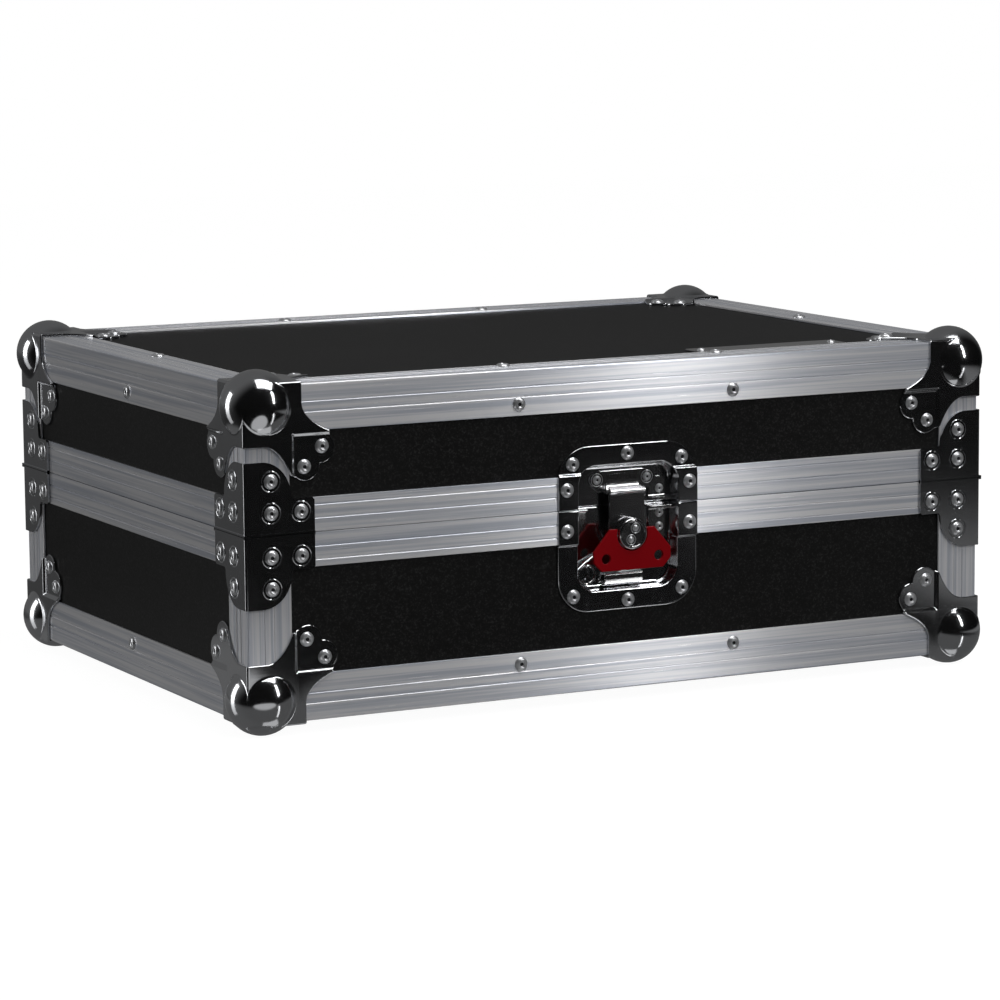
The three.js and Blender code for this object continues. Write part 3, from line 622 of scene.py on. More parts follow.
# Ball corners: pressed steel, chromed. Three faces wrap the extrusions, an ear on each steps down to
# the panel with two rivets, and a hollow ball stands out of the point.
PLATE = 1.5
PLATE_OUT = 1.8
PLATE_BEND = 1.7
PLATE_CREASE = 28
RIM_RADIUS = 0.85
RIM_ANGLE = 1.15
BEND_ANGLE = 1.2
BALL_RADIUS = 23
BALL_SEAT = 14
BALL_WALL = 1.6
COLLAR_FILLET = 2.5
COLLAR_WIDTH = 4
COLLAR_SUNK = 0.7
CORNER_REACH = 38.5
CORNER_STRAIGHT = 13
EAR_FAR = 51.3
EAR_NEAR = 41
EAR_RADIUS = 10
EAR_FLARE = 5.7
EAR_LOBE_START = -0.7
EAR_STEP_START = 30.6
EAR_STEP_RUN = 3
STEP_CUTS = 4
EAR_RIVETS = ((52.3, 40), (40, 52.3))
CYCLE = Matrix(((0, 0, 1, 0), (1, 0, 0, 0), (0, 1, 0, 0), (0, 0, 0, 1)))
CORNER_FACES = (UPWARDS, CYCLE, CYCLE @ CYCLE)
chrome = metal_finish("chromed_steel", (0.64, 0.65, 0.67), 0.1, 0.04, 0.08)


def arc(x, y, radius, start, end, steps):
    turns = [start + (end - start) * i / steps for i in range(steps + 1)]
    return [(x + radius * math.cos(turn), y + radius * math.sin(turn)) for turn in turns]


def scooped(a, control, b, steps=8):
    """Points after a, up to b, on a curve that bends at the control point."""
    a, control, b = Vector(a), Vector(control), Vector(b)
    shares = [i / steps for i in range(1, steps + 1)]
    return [tuple(a.lerp(control, share).lerp(control.lerp(b, share), share)) for share in shares]


def ease(share):
    """A smooth step from 0 to 1."""
    share = min(max(share, 0), 1)
    return share * share * (3 - 2 * share)


def corner_outline():
    """One face's outline. The square under the ball is left out of it."""
    start = (CORNER_REACH, CORNER_STRAIGHT)
    control = (CORNER_REACH + PLATE, (CORNER_REACH + CORNER_STRAIGHT / 2) / 2 + POST_GAP)
    cusp = math.acos((EAR_NEAR - EAR_FAR) / (math.sqrt(2) * EAR_RADIUS)) - math.pi / 4
    half = [
        (BALL_SEAT, -PLATE_OUT), (CORNER_REACH, -PLATE_OUT), start,
        *scooped(start, control, (EAR_FAR + EAR_FLARE, EDGING_LEG)),
        *arc(EAR_FAR, EAR_NEAR, EAR_RADIUS, EAR_LOBE_START, cusp, 12),
    ]
    other = [(y, x) for x, y in reversed(half[:-1])]
    return [*half, *other, (BALL_SEAT, BALL_SEAT)]


def combine(body, others, operation):
    """Joins other bodies to a body, or cuts them out of it, and returns the result."""
    things = [link("part", keep(part, "part")) for part in (body, *others)]
    for other in things[1:]:
        joint = things[0].modifiers.new("joint", "BOOLEAN")
        joint.solver = "EXACT"
        joint.operation = operation
        joint.object = other
    evaluated = things[0].evaluated_get(bpy.context.evaluated_depsgraph_get())
    result = copied(evaluated.to_mesh())
    evaluated.to_mesh_clear()
    for thing in things:
        mesh = thing.data
        bpy.data.objects.remove(thing)
        bpy.data.meshes.remove(mesh)
    return result


def block(x, y, z):
    body = bmesh.new()
    bmesh.ops.create_cube(body, size=1)
    for k, (low, high) in enumerate((x, y, z)):
        for vert in body.verts:
            vert.co[k] = low if vert.co[k] < 0 else high
    return body


def folded_sheet(outline, turns):
    """A sheet of one flat outline, set down once for each turn."""
    body = bmesh.new()
    for turn in turns:
        face = bmesh.new()
        face.faces.new([face.verts.new(place) for place in outline])
        add_body(body, move(face, turn))
    return body


def sharper(angle):
    """A test for edges whose faces turn by more than that angle, in radians."""
    return lambda edge: edge.is_manifold and edge.calc_face_angle() > angle


def sheet_to_plate(body, thickness):
    """Thickens a sheet inwards from its outer face and rounds the rim of that face."""
    outer, sharp = set(body.verts), sharper(RIM_ANGLE)
    bmesh.ops.solidify(body, geom=body.faces[:], thickness=thickness)
    bmesh.ops.recalc_face_normals(body, faces=body.faces)
    round_edges(body, RIM_RADIUS, 3, lambda edge: sharp(edge) and outer.issuperset(edge.verts))
    return body


def split_step(body, start, run, normal):
    """Cuts the faces where a smooth step is to bend them."""
    for i in range(STEP_CUTS + 1):
        split(body, (start + run * i / STEP_CUTS) * normal, normal)


def corner_sheet():
    """The three faces, whose ears step down from the extrusions to the panels."""
    body = folded_sheet([(x, y, -PLATE_OUT) for x, y in reversed(corner_outline())], CORNER_FACES)
    for normal in Matrix.Identity(3):
        split_step(body, EAR_STEP_START, EAR_STEP_RUN, normal)
    bmesh.ops.remove_doubles(body, verts=body.verts, dist=0.001)
    for vert in body.verts:
        for k in range(3):
            if abs(vert.co[k] + PLATE_OUT) < 0.001:
                reach = min(vert.co[k - 1], vert.co[k - 2])
                vert.co[k] += PLATE_OUT * ease((reach - EAR_STEP_START) / EAR_STEP_RUN)
                break
    body.normal_update()
    round_edges(body, PLATE_BEND, 4, sharper(BEND_ANGLE))
    return sheet_to_plate(body, PLATE)


def ball(radius):
    body = bmesh.new()
    bmesh.ops.create_uvsphere(body, u_segments=56, v_segments=28, radius=radius)
    return move(body, Matrix.Translation((BALL_SEAT, BALL_SEAT, BALL_SEAT)))


def ball_shell():
    """A hollow ball, open where the extrusions and panels run into it."""
    starts = (PANEL_SETBACK - POST_GAP, -POST_GAP, EDGING_LEG)
    inside, beside, past = [(start, BALL_RADIUS * 2) for start in starts]
    room = [
        block(inside, inside, inside), block(past, beside, beside), block(beside, past, beside),
        block(beside, beside, past),
    ]
    return combine(ball(BALL_RADIUS), [ball(BALL_RADIUS - BALL_WALL), *room], "DIFFERENCE")


def collar():
    """The fillet where the ball rises from a face: a ring turned about the ball's axis."""
    rise = BALL_SEAT + PLATE_OUT + COLLAR_FILLET
    foot = math.sqrt((BALL_RADIUS + COLLAR_FILLET) ** 2 - rise ** 2)
    start = (foot, -COLLAR_SUNK)
    fillet = arc(foot, COLLAR_FILLET, COLLAR_FILLET, -math.pi / 2, math.atan2(-rise, -foot), 6)
    body = turned([start, *fillet, (foot - COLLAR_WIDTH, -COLLAR_SUNK), start], 56)
    move(body, Matrix.Translation((BALL_SEAT, BALL_SEAT, -PLATE_OUT)) @ Matrix.Scale(-1, 4, (0, 0, 1)))
    far = 2 * BALL_RADIUS
    around, below, behind = (-far, far), (-far, -PLATE_OUT), (-far, BALL_SEAT)
    clear = [block(below, around, around), block(around, below, around), block(behind, behind, around)]
    return combine(body, clear, "DIFFERENCE")


collars = [move(collar(), turn) for turn in CORNER_FACES]
BALL_CORNER = keep(combine(corner_sheet(), [ball_shell(), *collars], "UNION"), "ball_corner")
for corner in CORNERS:
    for shell, height, up in HALVES:
        node = f"{shell}_{corner}_ball_corner"
        place = corner_matrix(corner, height, up)
        body = copied(BALL_CORNER)
        finish_piece(f"{node}_pressing", body, place, [chrome], shell, node, PLATE_CREASE)
        heads = bmesh.new()
        for turn in CORNER_FACES:
            set_rivets(heads, [turn @ Vector((x, y, 0)) for x, y in EAR_RIVETS], turn @ DOWNWARDS)
        finish_rivets(node, heads, place, shell)

# Brace corners: chromed pressings that clasp the upright corner at the parting line. Each has a foot
# along the band, an arch up the post, a lip turned out at the line and a dimple round each rivet.
BRACE_REACH = 46
BRACE_FOOT = 22.5
BRACE_CHAMFER = 1.5
BRACE_HEIGHT = 46.4
BRACE_FLAT = 10
BRACE_RIVETS = ((16.3, 14), (36.8, 14), (16.3, 34))
BRACE_LIP = 0.7
DIMPLE_RADIUS = 6.5
DIMPLE_RIM = 0.34
SWAP = Matrix(((0, 1, 0, 0), (1, 0, 0, 0), (0, 0, 1, 0), (0, 0, 0, 1)))
BRACE_FACES = (UPWARDS, SWAP)


def brace_outline():
    neck = BRACE_FOOT + PLATE
    width, height = EDGING_LEG - BRACE_FLAT, BRACE_HEIGHT - neck
    return [
        (-PLATE_OUT, HALF_GAP), (BRACE_REACH, HALF_GAP), (BRACE_REACH, BRACE_FOOT - BRACE_CHAMFER),
        (BRACE_REACH - BRACE_CHAMFER, BRACE_FOOT), (EDGING_LEG + PLATE, BRACE_FOOT),
        *[(BRACE_FLAT + x * width, neck + z * height) for x, z in arc(0, 0, 1, 0, math.pi / 2, 16)],
        (-PLATE_OUT, BRACE_HEIGHT),
    ]


def is_fold(edge):
    """Whether an edge is the upright fold over the case's corner."""
    a, b = [end.co for end in edge.verts]
    return edge.is_manifold and max(a.x, a.y, b.x, b.y) < 0 and abs(a.z - b.z) > BRACE_FLAT / 2


def brace_pressing():
    body = folded_sheet([(x, -PLATE_OUT, z) for x, z in brace_outline()], BRACE_FACES)
    bmesh.ops.remove_doubles(body, verts=body.verts, dist=0.001)
    line = [edge for edge in body.edges if all(abs(end.co.z - HALF_GAP) < NEAR for end in edge.verts)]
    for vert in of_kind(bmesh.ops.extrude_edge_only(body, edges=line)["geom"]):
        for k in range(2):
            if abs(vert.co[k] + PLATE_OUT) < NEAR:
                vert.co[k] -= BRACE_LIP
    body.normal_update()
    round_edges(body, PLATE_BEND, 4, is_fold)
    return sheet_to_plate(body, PLATE)


BRACE = keep(brace_pressing(), "brace")
DIMPLE = keep(turned(arc(DIMPLE_RADIUS, 0, DIMPLE_RIM, 0, 2 * math.pi, 8), 32), "dimple")
for corner in CORNERS:
    for shell, up in (("base", -1), ("lid", 1)):
        node = f"{shell}_{corner}_brace"
        body = copied(BRACE)
        heads = bmesh.new()
        for turn in BRACE_FACES:
            spots = [turn @ Vector((x, -PLATE_OUT, z)) for x, z in BRACE_RIVETS]
            set_rivets(heads, spots, turn @ OUT_OF_WALL)
            set_rivets(body, spots, turn @ OUT_OF_WALL, pattern=DIMPLE)
        place = corner_matrix(corner, PARTING, up)
        finish_piece(f"{node}_pressing", body, place, [chrome], shell, node, PLATE_CREASE)
        finish_rivets(node, heads, place, shell)

# Latch dish: a chromed pan pressed deep into the wall across the parting line, where it is cut in
# two. Its flange lies on the panels, steps up over the extrusion and is held by ten rivets.
# An outline is given by half its width, its low and high edge and the radius of its corners.
DISH_OUTLINE = (51.5, -68, 41, 23)
DISH_RECESS = (37.5, -55.3, 28.3, 13)
DISH_SHEET = 1.2
DISH_CREASE = 40
RECESS_WALL = ((0, 0), (0.4, 0.12), (0.8, 0.5), (1, 1.1), (1.7, 7.4), (2.1, 8.5), (2.8, 9.1), (3.8, 9.3))
SHELF = 0.3
DISH_FLOOR = SHELF + RECESS_WALL[-1][1]
STRAP_HALF = 22.3
STRAP_STEP = 1.8
STRAP_RUN = 1.5
DISH_RIVET_INSET = 6.2
DISH_RIVET_DIAGONAL = 11.2
DISH_RIVET_STRAP = 13.5
LATCHES = [(side, wall_matrix(side, PARTING)) for side in ("front", "rear")]


def rounded(half_width, low, high, radius, steps=8):
    """A rounded rectangle, which runs anticlockwise from its right side."""
    x, top, bottom = half_width - radius, high - radius, low + radius
    quarter = math.pi / 2
    points = []
    for i, centre in enumerate(((x, top), (-x, top), (-x, bottom), (x, bottom))):
        points += arc(*centre, radius, i * quarter, (i + 1) * quarter, steps)
    return points


def lofted(rows, solid=True):
    """A skin over rows of places, closed at its last row and, if it is a solid, at its first."""
    body = bmesh.new()
    rings = [[body.verts.new(place) for place in row] for row in rows]
    for a, b in zip(rings, rings[1:]):
        for i in range(len(a)):
            body.faces.new((a[i - 1], a[i], b[i], b[i - 1]))
    body.faces.new(rings[-1])
    if solid:
        body.faces.new(rings[0])
        bmesh.ops.recalc_face_normals(body, faces=body.faces)
    return body


def pan(outline, recess):
    """A sheet with a flat flange round a recess, seen from the front."""
    half_width, low, high, radius = recess
    rows = [[(x, SHELF, z) for x, z in rounded(*outline)]]
    for inset, depth in RECESS_WALL:
        shape = rounded(half_width - inset, low + inset, high - inset, max(radius - inset, 1))
        rows.append([(x, SHELF + depth, z) for x, z in shape])
    return lofted(rows, solid=False)


def dish_half(up):
    body = pan(DISH_OUTLINE, DISH_RECESS)
    for side in (-1, 1):
        split_step(body, STRAP_HALF, STRAP_RUN, Vector((0, 0, side)))
    for vert in body.verts:
        sunk = 1 - (vert.co.y - SHELF) / (DISH_FLOOR - SHELF)
        vert.co.y -= STRAP_STEP * ease((STRAP_HALF + STRAP_RUN - abs(vert.co.z)) / STRAP_RUN) * sunk
    split(body, (0, 0, up * HALF_GAP), (0, 0, up), clear_inner=True)
    body.normal_update()
    return sheet_to_plate(body, DISH_SHEET)


half_width, low, high, _ = DISH_OUTLINE
for side, place in LATCHES:
    for shell, end, up in (("lid", high, 1), ("base", -low, -1)):
        node = f"{side}_latch_{shell}_dish"
        body = dish_half(up)
        finish_piece(f"{node}_pan", body, place, [chrome], shell, node, DISH_CREASE)
        spots = [(0, SHELF, up * (end - DISH_RIVET_INSET))]
        for hand in (-1, 1):
            diagonal = hand * (half_width - DISH_RIVET_DIAGONAL)
            flank = hand * (half_width - DISH_RIVET_INSET)
            spots += [
                (diagonal, SHELF, up * (end - DISH_RIVET_DIAGONAL)),
                (flank, SHELF - STRAP_STEP, up * DISH_RIVET_STRAP),
            ]
        finish_rivets(node, set_rivets(bmesh.new(), spots), place, shell)

# Fittings on the dish floor, all of plated sheet: the strike with the lip that the hook pulls on, two
# padlock tabs, the bracket under the handle, the stop at the left and the tether's wire ring.
STRIKE_LOW = 8.6
STRIKE_OUTLINE = (22, STRIKE_LOW, 23, 7)
STRIKE_SHEET = 1.5
STRIKE_EDGE = 0.6
STRIKE_FACE = DISH_FLOOR - STRIKE_SHEET
STRIKE_RIVETS = ((-18.5, STRIKE_FACE, 17.2), (18.5, STRIKE_FACE, 17.2))
LIP_HALF_WIDTH = 12
LIP_FACE = 3.6
LIP_BACK = 5
LIP_EDGE = 0.3
LIP_SHAPE = ((3.6, 8), (3.6, 12.3), (4.3, 13), (5, 12.3), (5, 9.4), (9.6, 9.4), (9.6, 8))
RAMP_TOP = 20.5
RAMP_FOOT = 9.8
RAMP_SHEET = 0.9
TAB_PLACE = 27.6
TAB_HALF_WIDTH = 7.9
TAB_SHEET = 1.6
TAB_FACE = DISH_FLOOR - TAB_SHEET
TAB_REACH = 4.5
TAB_GAP = 2
TAB_RISE = 17
TAB_DROP = 24
TAB_BEND = 1.4
TAB_EDGE = 0.25
PADLOCK_HOLE = 1.5
LID_TAB_RIVETS = ((TAB_PLACE, TAB_FACE, 8.9),)
BASE_TAB_RIVETS = ((TAB_PLACE, TAB_FACE, -7.2), (TAB_PLACE, TAB_FACE, -16.4))
BRACKET_PATH = (
    (8.6, -39.5), (8.4, -43.6), (6.2, -44.8), (5.6, -45.8), (5.6, -49.6), (6.2, -50.8), (8.8, -52),
)
STOP_PATH = ((4.6, -2.2), (7.4, -2.4), (8.2, -3.4), (8.4, -15.6))
BENT_STRIPS = ((BRACKET_PATH, 1.2, -14, 14, 0.3), (STOP_PATH, 1.1, -36.1, -26.9, 0.25))
BENT_ANGLE = 1.3
RING_PLACE = Vector((-28, 5.2, -44))
RING_RADIUS = 6
RING_START = math.radians(140)
RING_END = math.radians(-205)
TETHER_LEG = ((-7.5, 0, 2.9), (-5.6, 0, 4.2), (-1, 0.6, 7.6), (8, 2, 12.5))
TETHER_EYE = ((5, 0, -3), (9, 2, -5), (13, 3.4, -5.4))
WIRE_RADIUS = 0.85
DEPTH_TO_HEIGHT = Matrix(((1, 0, 0, 0), (0, 0, 1, 0), (0, 1, 0, 0), (0, 0, 0, 1)))
nickel = metal_finish("nickel_plate", (0.6, 0.6, 0.61), 0.12, 0.08, 0.1)


def strip(path, thickness):
    """The outline of a bent sheet whose outer face follows the path of (y, z) points."""
    inner = []
    for i, (y, z) in enumerate(path):
        along = (Vector(path[min(i + 1, len(path) - 1)]) - Vector(path[max(i - 1, 0)])).normalized()
        inner.append((y - along.y * thickness, z + along.x * thickness))
    return [*path, *reversed(inner)]


def prism(outline, near, far):
    """A flat plate with an outline of (x, z) points between two depths."""
    return drawn_out([(x, near, z) for x, z in outline], (0, far - near, 0))


def circle(x, y, radius, steps):
    return arc(x, y, radius, 0, 2 * math.pi, steps)[:-1]


def soften(body, radius, segments=2, sharpest=1.0):
    body.normal_update()
    round_edges(body, radius, segments, sharper(sharpest))
    return body


def strike():
    """A plate, the ramp that leads down to its lip, and the lip itself."""
    plate = soften(prism(rounded(*STRIKE_OUTLINE), STRIKE_FACE, DISH_FLOOR), STRIKE_EDGE)
    top = (STRIKE_FACE - 0.1, RAMP_TOP)
    bend = scooped(top, (top[0], RAMP_FOOT), (LIP_BACK + 0.4, RAMP_FOOT), 10)
    ramp = strip([top, *bend, (LIP_FACE, RAMP_FOOT + 0.4), (LIP_FACE, STRIKE_LOW)], RAMP_SHEET)
    add_body(plate, bar(ramp, -LIP_HALF_WIDTH, LIP_HALF_WIDTH))
    add_body(plate, soften(bar(LIP_SHAPE, -LIP_HALF_WIDTH, LIP_HALF_WIDTH), LIP_EDGE))
    return plate


def padlock_tab(reach):
    """An angle with one leg on the dish floor, rounded at its end, and a ledge with a hole."""
    ledge = TAB_GAP + TAB_SHEET
    tip = TAB_FACE - TAB_REACH
    bend = arc(TAB_FACE - TAB_BEND, ledge + TAB_BEND, TAB_BEND, -math.pi / 2, 0, 6)
    outer = [(TAB_FACE, reach), (DISH_FLOOR, reach), (DISH_FLOOR, TAB_GAP), (tip, TAB_GAP)]
    angle = bar([(tip, ledge), *bend, *outer], -TAB_HALF_WIDTH, TAB_HALF_WIDTH)
    end = arc(0, reach - TAB_HALF_WIDTH, TAB_HALF_WIDTH, 0, math.pi, 16)
    round_end = prism([(TAB_HALF_WIDTH, 0), *end, (-TAB_HALF_WIDTH, 0)], -DISH_FLOOR, 2 * DISH_FLOOR)
    hole = prism(circle(0, TAB_FACE - TAB_REACH / 2, PADLOCK_HOLE, 24), -TAB_RISE, TAB_RISE)
    body = combine(angle, [round_end], "INTERSECT")
    body = soften(combine(body, [move(hole, DEPTH_TO_HEIGHT)], "DIFFERENCE"), TAB_EDGE)
    return move(body, Matrix.Translation((TAB_PLACE, 0, 0)))


def wire(points, radius, sides=10):
    """A round wire along a path of points, closed at both ends."""
    rows = []
    for i, point in enumerate(points):
        along = Vector(points[min(i + 1, len(points) - 1)]) - Vector(points[max(i - 1, 0)])
        place = Matrix.Translation(point) @ along.to_track_quat("Z", "Y").to_matrix().to_4x4()
        rows.append([place @ Vector((x, y, 0)) for x, y in circle(0, 0, radius, sides)])
    return lofted(rows)


ring = [(x, 0, z) for x, z in arc(0, 0, RING_RADIUS, RING_START, RING_END, 30)]
for side, place in LATCHES:
    body = strike()
    add_body(body, padlock_tab(TAB_RISE))
    finish_piece(f"{side}_latch_strike_and_tab", body, place, [nickel], "lid")
    heads = set_rivets(bmesh.new(), (*STRIKE_RIVETS, *LID_TAB_RIVETS), share=SMALL_RIVET_SHARE)
    set_rivets(heads, STRIKE_RIVETS, share=SMALL_RIVET_SHARE, pattern=DIMPLE)
    finish_rivets(f"{side}_latch_strike", heads, place, "lid")
    body = move(padlock_tab(TAB_DROP), Matrix.Scale(-1, 4, (0, 0, 1)))
    for path, thickness, start, end, radius in BENT_STRIPS:
        add_body(body, soften(bar(strip(path, thickness), start, end), radius, 2, BENT_ANGLE))
    for path in (TETHER_LEG, ring, TETHER_EYE):
        add_body(body, wire([RING_PLACE + Vector(spot) for spot in path], WIRE_RADIUS))
    finish_piece(f"{side}_latch_floor_fittings", body, place, [nickel], "base")
    heads = set_rivets(bmesh.new(), BASE_TAB_RIVETS, share=SMALL_RIVET_SHARE)
    finish_rivets(f"{side}_latch_floor", heads, place, "base")

# Hook: a drawbar of plated strip that straddles the spindle's hub and ends in a nose rolled over the
# lip of the strike.
AXLE_DROP = 17.5
HUB_RADIUS = 9
HUB_PLAY = 0.3
HOOK_HALF_WIDTH = 13
HOOK_FACE = 1.2
HOOK_BACK = 3.2
HOOK_EDGE = 0.35
ROLL_RADIUS = 2
ROLL_RISE = 10


def hook():
    half = HOOK_HALF_WIDTH
    notch = arc(0, -AXLE_DROP, HUB_RADIUS + HUB_PLAY, math.pi, 0, 24)
    outline = [(half, -AXLE_DROP), (half, ROLL_RISE), (-half, ROLL_RISE), (-half, -AXLE_DROP), *notch]
    nose = bar(circle(HOOK_BACK - ROLL_RADIUS, ROLL_RISE, ROLL_RADIUS, 20), -half, half)
    drawbar = soften(prism(outline, HOOK_FACE, HOOK_BACK), HOOK_EDGE)
    return combine(drawbar, [soften(nose, HOOK_EDGE)], "UNION")


for side, place in LATCHES:
    node = f"{side}_latch_hook"
    finish_piece(f"{node}_strip", hook(), place, [nickel], f"{side}_hook", node)

# Spindle: turned steel, with a hub on the dish floor and a wider boss in front of the hook. Two drive
# pins are peened into the sunk face of the boss, each in a turned collar.
HUB_FOOT = HUB_PLAY - DISH_FLOOR
BOSS_BACK = HUB_PLAY - HOOK_FACE
BOSS_RADIUS = 10.4
BOSS_PROUD = 8
BOSS_RIM = ((10.4, 6.7), (10.1, 7.4), (9.5, 7.9), (9, 8), (8.4, 7.95), (8.2, 7.45), (7.9, 7.3))
BOSS_ARRIS = 0.4
PIN_SHAPE = ((0, 1), (0.805, 0.94), (1.495, 0.76), (2.024, 0.46), (2.3, 0), (2.3, -0.2), (0, -0.2))
COLLAR_SHAPE = ((3, -0.2), (3, 0.21), (3.25, 0.35), (3.5, 0.21), (3.5, -0.2), (3, -0.2))
PIN_REACH = 4.1
PIN_TURN = 1.15
AXLE = Matrix.Translation((0, 0, -AXLE_DROP)) @ OUT_OF_WALL
SPINDLE_SHAPE = (
    (0, HUB_FOOT), (HUB_RADIUS, HUB_FOOT), (HUB_RADIUS, BOSS_BACK),
    (BOSS_RADIUS - BOSS_ARRIS, BOSS_BACK), (BOSS_RADIUS, BOSS_BACK + BOSS_ARRIS),
    *BOSS_RIM, (0, BOSS_RIM[-1][1]),
)
PIN = keep(turned(PIN_SHAPE, 24), "pin")
COLLAR = keep(turned(COLLAR_SHAPE, 28), "collar")
spots = [(x, y, BOSS_RIM[-1][1]) for x, y in arc(0, 0, PIN_REACH, PIN_TURN, PIN_TURN + math.pi, 1)]
for side, wall in LATCHES:
    node = f"{side}_latch_spindle"
    place = wall @ AXLE
    body = turned(SPINDLE_SHAPE, 48)
    finish_piece(f"{node}_turning", body, place, [nickel], f"{side}_spindle", node)
    pins = set_rivets(bmesh.new(), spots, UPWARDS, pattern=PIN)
    set_rivets(pins, spots, UPWARDS, pattern=COLLAR)
    finish_piece(f"{node}_pins", pins, place, [zinc], f"{side}_spindle", crease=60)

# Latch handle: half a butterfly of thick steel plate, blanked, lightly rounded and enamelled red. It
# hangs in front of the dish, notched round the boss, with two holes for the thumb and a cord.
HANDLE_FRONT = -6.2
HANDLE_BACK = -3.8
HANDLE_FLANK = ((16.4, 3.6), (28.5, -10.5), (28.5, -17.5), (22.7, -23.6))
HANDLE_HOLE = (19.4, -15.5)
HANDLE_HOLE_RADIUS = 3.2
HANDLE_EDGE = 0.5
NOTCH_PLAY = 0.8
ENAMEL_RED = (0.2, 0.0004, 0.003, 1)
ENAMEL_WORN = (0.26, 0.006, 0.01, 1)

red, skin = new_finish("red_enamel")
where = skin.place()
wear = skin.noise(where, 900, 4, 0.7)
skin.surface({
    "Base Color": skin.mix(skin.between(wear, 0.62, 0.8), ENAMEL_RED, ENAMEL_WORN),
    "Roughness": skin.math("MULTIPLY_ADD", wear, 0.2, 0.4),
    "Specular IOR Level": 0.08,
    "Normal": skin.bump(skin.noise(where, 420, 2), 0.15, 0.0002),
})


def latch_handle():
    notch = BOSS_RADIUS + NOTCH_PLAY
    turn = math.asin(HANDLE_FLANK[0][1] / notch)
    mirrored = [(-x, z) for x, z in reversed(HANDLE_FLANK)]
    outline = [*HANDLE_FLANK, *mirrored, *arc(0, 0, notch, math.pi - turn, 2 * math.pi + turn, 32)]
    blank = prism(outline, HANDLE_FRONT, HANDLE_BACK)
    x, z = HANDLE_HOLE
    holes = [prism(circle(place, z, HANDLE_HOLE_RADIUS, 24), -2 * BOSS_PROUD, 0) for place in (-x, x)]
    return soften(combine(blank, holes, "DIFFERENCE"), HANDLE_EDGE, 3)


for side, wall in LATCHES:
    node = f"{side}_latch_handle"
    place = wall @ Matrix.Translation((0, 0, -AXLE_DROP))
    finish_piece(f"{node}_plate", latch_handle(), place, [red], f"{side}_handle", node)

# Carry handle, in the right end of the base: a pan like the latch dish, and a bail of bent plated rod
# with a moulded grip, which swings on two pins.
CARRY_OUTLINE = (70, -31, 31, 8)
CARRY_RECESS = (58, -23, 23, 4.5)
CARRY_RIVETS = [(x, SHELF, z) for x in (-63.5, 63.5) for z in (-24.5, 24.5)]
BAIL_PIVOT_RISE = 16
BAIL_GRIP_DROP = 14
BAIL_DEPTH = 5
BAIL_BEND = 5
BAIL_ROD = 1.9
BAIL_REACH = 55.5
BAIL_EYE = 3.3
BAIL_EDGE = 0.25
PIN_END = 59.1
GRIP_RADIUS = 4
GRIP_CORE = 3
GRIP_HALF_LENGTH = 44
GRIP_RIBS = 22
GRIP_RIB_DEPTH = 0.35
GRIP_RIB = ((GRIP_RIB_DEPTH, 0.12), (0, 0.3), (0, 0.7), (GRIP_RIB_DEPTH, 0.88))
GRIP_BLACK = (0.014, 0.014, 0.015, 1)

carry_low, carry_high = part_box("carry_handle_dish")
CARRY = wall_matrix("right", (carry_low.z + carry_high.z) / 2 * M)
body = pan(CARRY_OUTLINE, CARRY_RECESS)
body.normal_update()
sheet_to_plate(body, DISH_SHEET)
node = "carry_handle_dish"
finish_piece("carry_handle_pan", body, CARRY, [chrome], "base", node, DISH_CREASE)
finish_rivets("carry_handle", set_rivets(bmesh.new(), CARRY_RIVETS), CARRY, "base")


def bail_rod():
    """The bent rod, the flattened eyes at its ends and the pins through them."""
    bend = arc(BAIL_BEND - BAIL_REACH, BAIL_BEND - BAIL_GRIP_DROP, BAIL_BEND, math.pi, 1.5 * math.pi, 8)
    half = [(x, BAIL_DEPTH, z) for x, z in [(-BAIL_REACH, BAIL_PIVOT_RISE), *bend]]
    body = wire([*half, *[(-x, y, z) for x, y, z in reversed(half)]], BAIL_ROD, 16)
    for hand in (-1, 1):
        outwards = Matrix.Rotation(hand * math.pi / 2, 4, "Y")
        place = Matrix.Translation((0, BAIL_DEPTH, BAIL_PIVOT_RISE)) @ outwards
        for radius, start, end in (
            (BAIL_EYE, BAIL_REACH - BAIL_ROD, BAIL_REACH + BAIL_ROD),
            (BAIL_ROD, BAIL_REACH, PIN_END),
        ):
            disc = turned([(0, start), (radius, start), (radius, end), (0, end)], 24)
            add_body(body, soften(move(disc, place), BAIL_EDGE))
    return body


def bail_grip():
    """A ribbed sleeve moulded on the rod."""
    half = GRIP_HALF_LENGTH
    step = 2 * half / GRIP_RIBS
    starts = [i * step - half for i in range(GRIP_RIBS)]
    ribs = [(GRIP_RADIUS - depth, start + step * share) for start in starts for depth, share in GRIP_RIB]
    body = turned([(0, -half), (GRIP_CORE, -half), *ribs, (GRIP_CORE, half), (0, half)], 28)
    lying = Matrix.Rotation(math.pi / 2, 4, "Y")
    return move(body, Matrix.Translation((0, BAIL_DEPTH, -BAIL_GRIP_DROP)) @ lying)


moulded, skin = new_finish("black_grip")
grain = skin.noise(skin.place(), 1500, 2)
skin.surface({
    "Base Color": GRIP_BLACK,
    "Roughness": skin.math("MULTIPLY_ADD", grain, 0.2, 0.45),
    "Normal": skin.bump(grain, 0.2, 0.0001),
})
node = "carry_handle_bail"
finish_piece("carry_handle_rod", bail_rod(), CARRY, [nickel], "carry_bail", node)
finish_piece("carry_handle_grip", bail_grip(), CARRY, [moulded], "carry_bail")

# Label plate: a strip of plated sheet with rounded corners and arrises, riveted on the lid behind the
# front edging. Its face is left blank.
LABEL_OUTLINE = (57, -11.5, 11.5, 2)
LABEL_SHEET = 1.2
LABEL_EDGE = 0.35
LABEL_RIVETS = ((-50.5, 0, LABEL_SHEET), (50.5, 0, LABEL_SHEET))

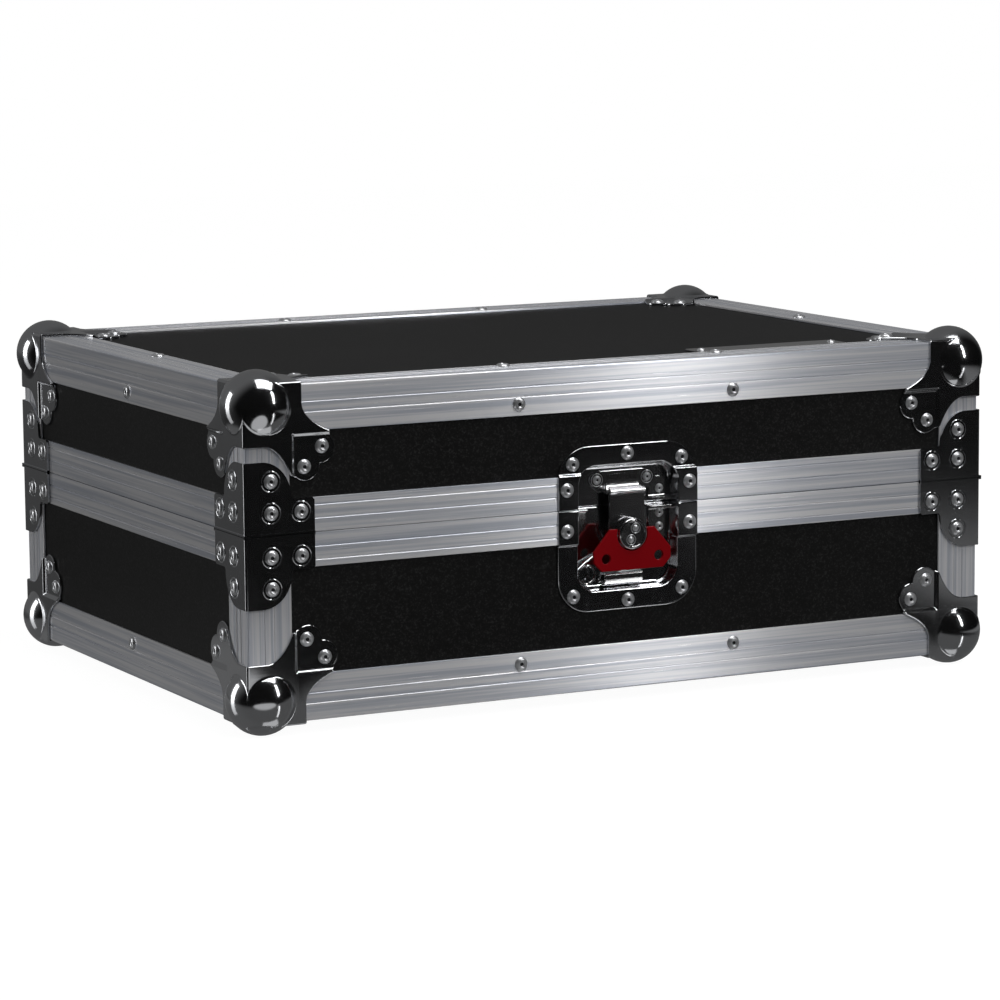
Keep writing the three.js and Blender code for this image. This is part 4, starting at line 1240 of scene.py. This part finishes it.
label_low, label_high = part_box("lid_label_plate")
label_middle = (label_low + label_high) / 2 * M
label_middle.z = EDGE_HIGH - PANEL_SETBACK + POST_GAP
LABEL = Matrix.Translation(label_middle)
body = soften(prism(rounded(*LABEL_OUTLINE), 0, LABEL_SHEET), LABEL_EDGE)
finish_piece("lid_label_strip", body, LABEL @ OUT_OF_WALL, [nickel], "lid", "lid_label_plate")
heads = set_rivets(bmesh.new(), LABEL_RIVETS, UPWARDS, SMALL_RIVET_SHARE)
finish_rivets("lid_label", heads, LABEL, "lid")

# Foam lining: charcoal foam blocks glued into the base and the lid, with the player's pocket cut out.
# The cut edges are soft and the cells show.
FOAM_SHELL_RADIUS = 4
FOAM_POCKET_RADIUS = 9
FOAM_EDGE = 2.2
FOAM_ARRIS = 0.66
FOAM_END_WALL = 52
FOAM_SIDE_WALL = 20
FOAM_FLOOR = 20
FOAM_ROOF = 51
FOAM_DARK = (0.008, 0.008, 0.009, 1)
FOAM_PALE = (0.034, 0.035, 0.038, 1)

foam, skin = new_finish("charcoal_foam")
where = skin.place()
cells = skin.add("TexVoronoi", {"Vector": where, "Scale": 620}).outputs["Distance"]
cloud = skin.math("MULTIPLY_ADD", skin.noise(where, 30, 4), 0.4, 0.8)
shade = skin.math("MULTIPLY", skin.between(cells, 0.05, 0.55), cloud)
skin.surface({
    "Base Color": skin.mix(shade, FOAM_DARK, FOAM_PALE),
    "Roughness": 0.95,
    "Specular IOR Level": 0.15,
    "Normal": skin.bump(cells, 0.6, 0.0006),
})


def lining(size, web):
    """A block with a pocket in its top, from its underside up, over the outside and into the pocket."""

    def row(wall_x, wall_y, radius, inset, height):
        half_x, half_y = size.x / 2 - wall_x - inset, size.y / 2 - wall_y - inset
        return [(x, y, height) for x, y in rounded(half_x, -half_y, half_y, radius)]

    top, soft, arris = size.z, FOAM_EDGE, FOAM_ARRIS
    outside = ((soft, 0), (0, soft), (0, top - soft), (arris, top - arris), (soft, top))
    inside = ((-soft, top), (-arris, top - arris), (0, top - soft), (0, web + soft), (soft, web))
    rows = [row(0, 0, FOAM_SHELL_RADIUS, *spot) for spot in outside]
    rows += [row(FOAM_END_WALL, FOAM_SIDE_WALL, FOAM_POCKET_RADIUS, *spot) for spot in inside]
    return lofted(rows)


for shell, up, web in (("base", 1, FOAM_FLOOR), ("lid", -1, FOAM_ROOF)):
    node = f"{shell}_foam_lining"
    low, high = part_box(node)
    start = low.z if up > 0 else high.z
    place = Matrix.Translation((0, 0, start * M)) @ Matrix.Scale(up, 4, (0, 0, 1))
    body = lining((high - low) * M, web)
    piece = finish_piece(f"{node}_block", body, place, [foam], shell, node)
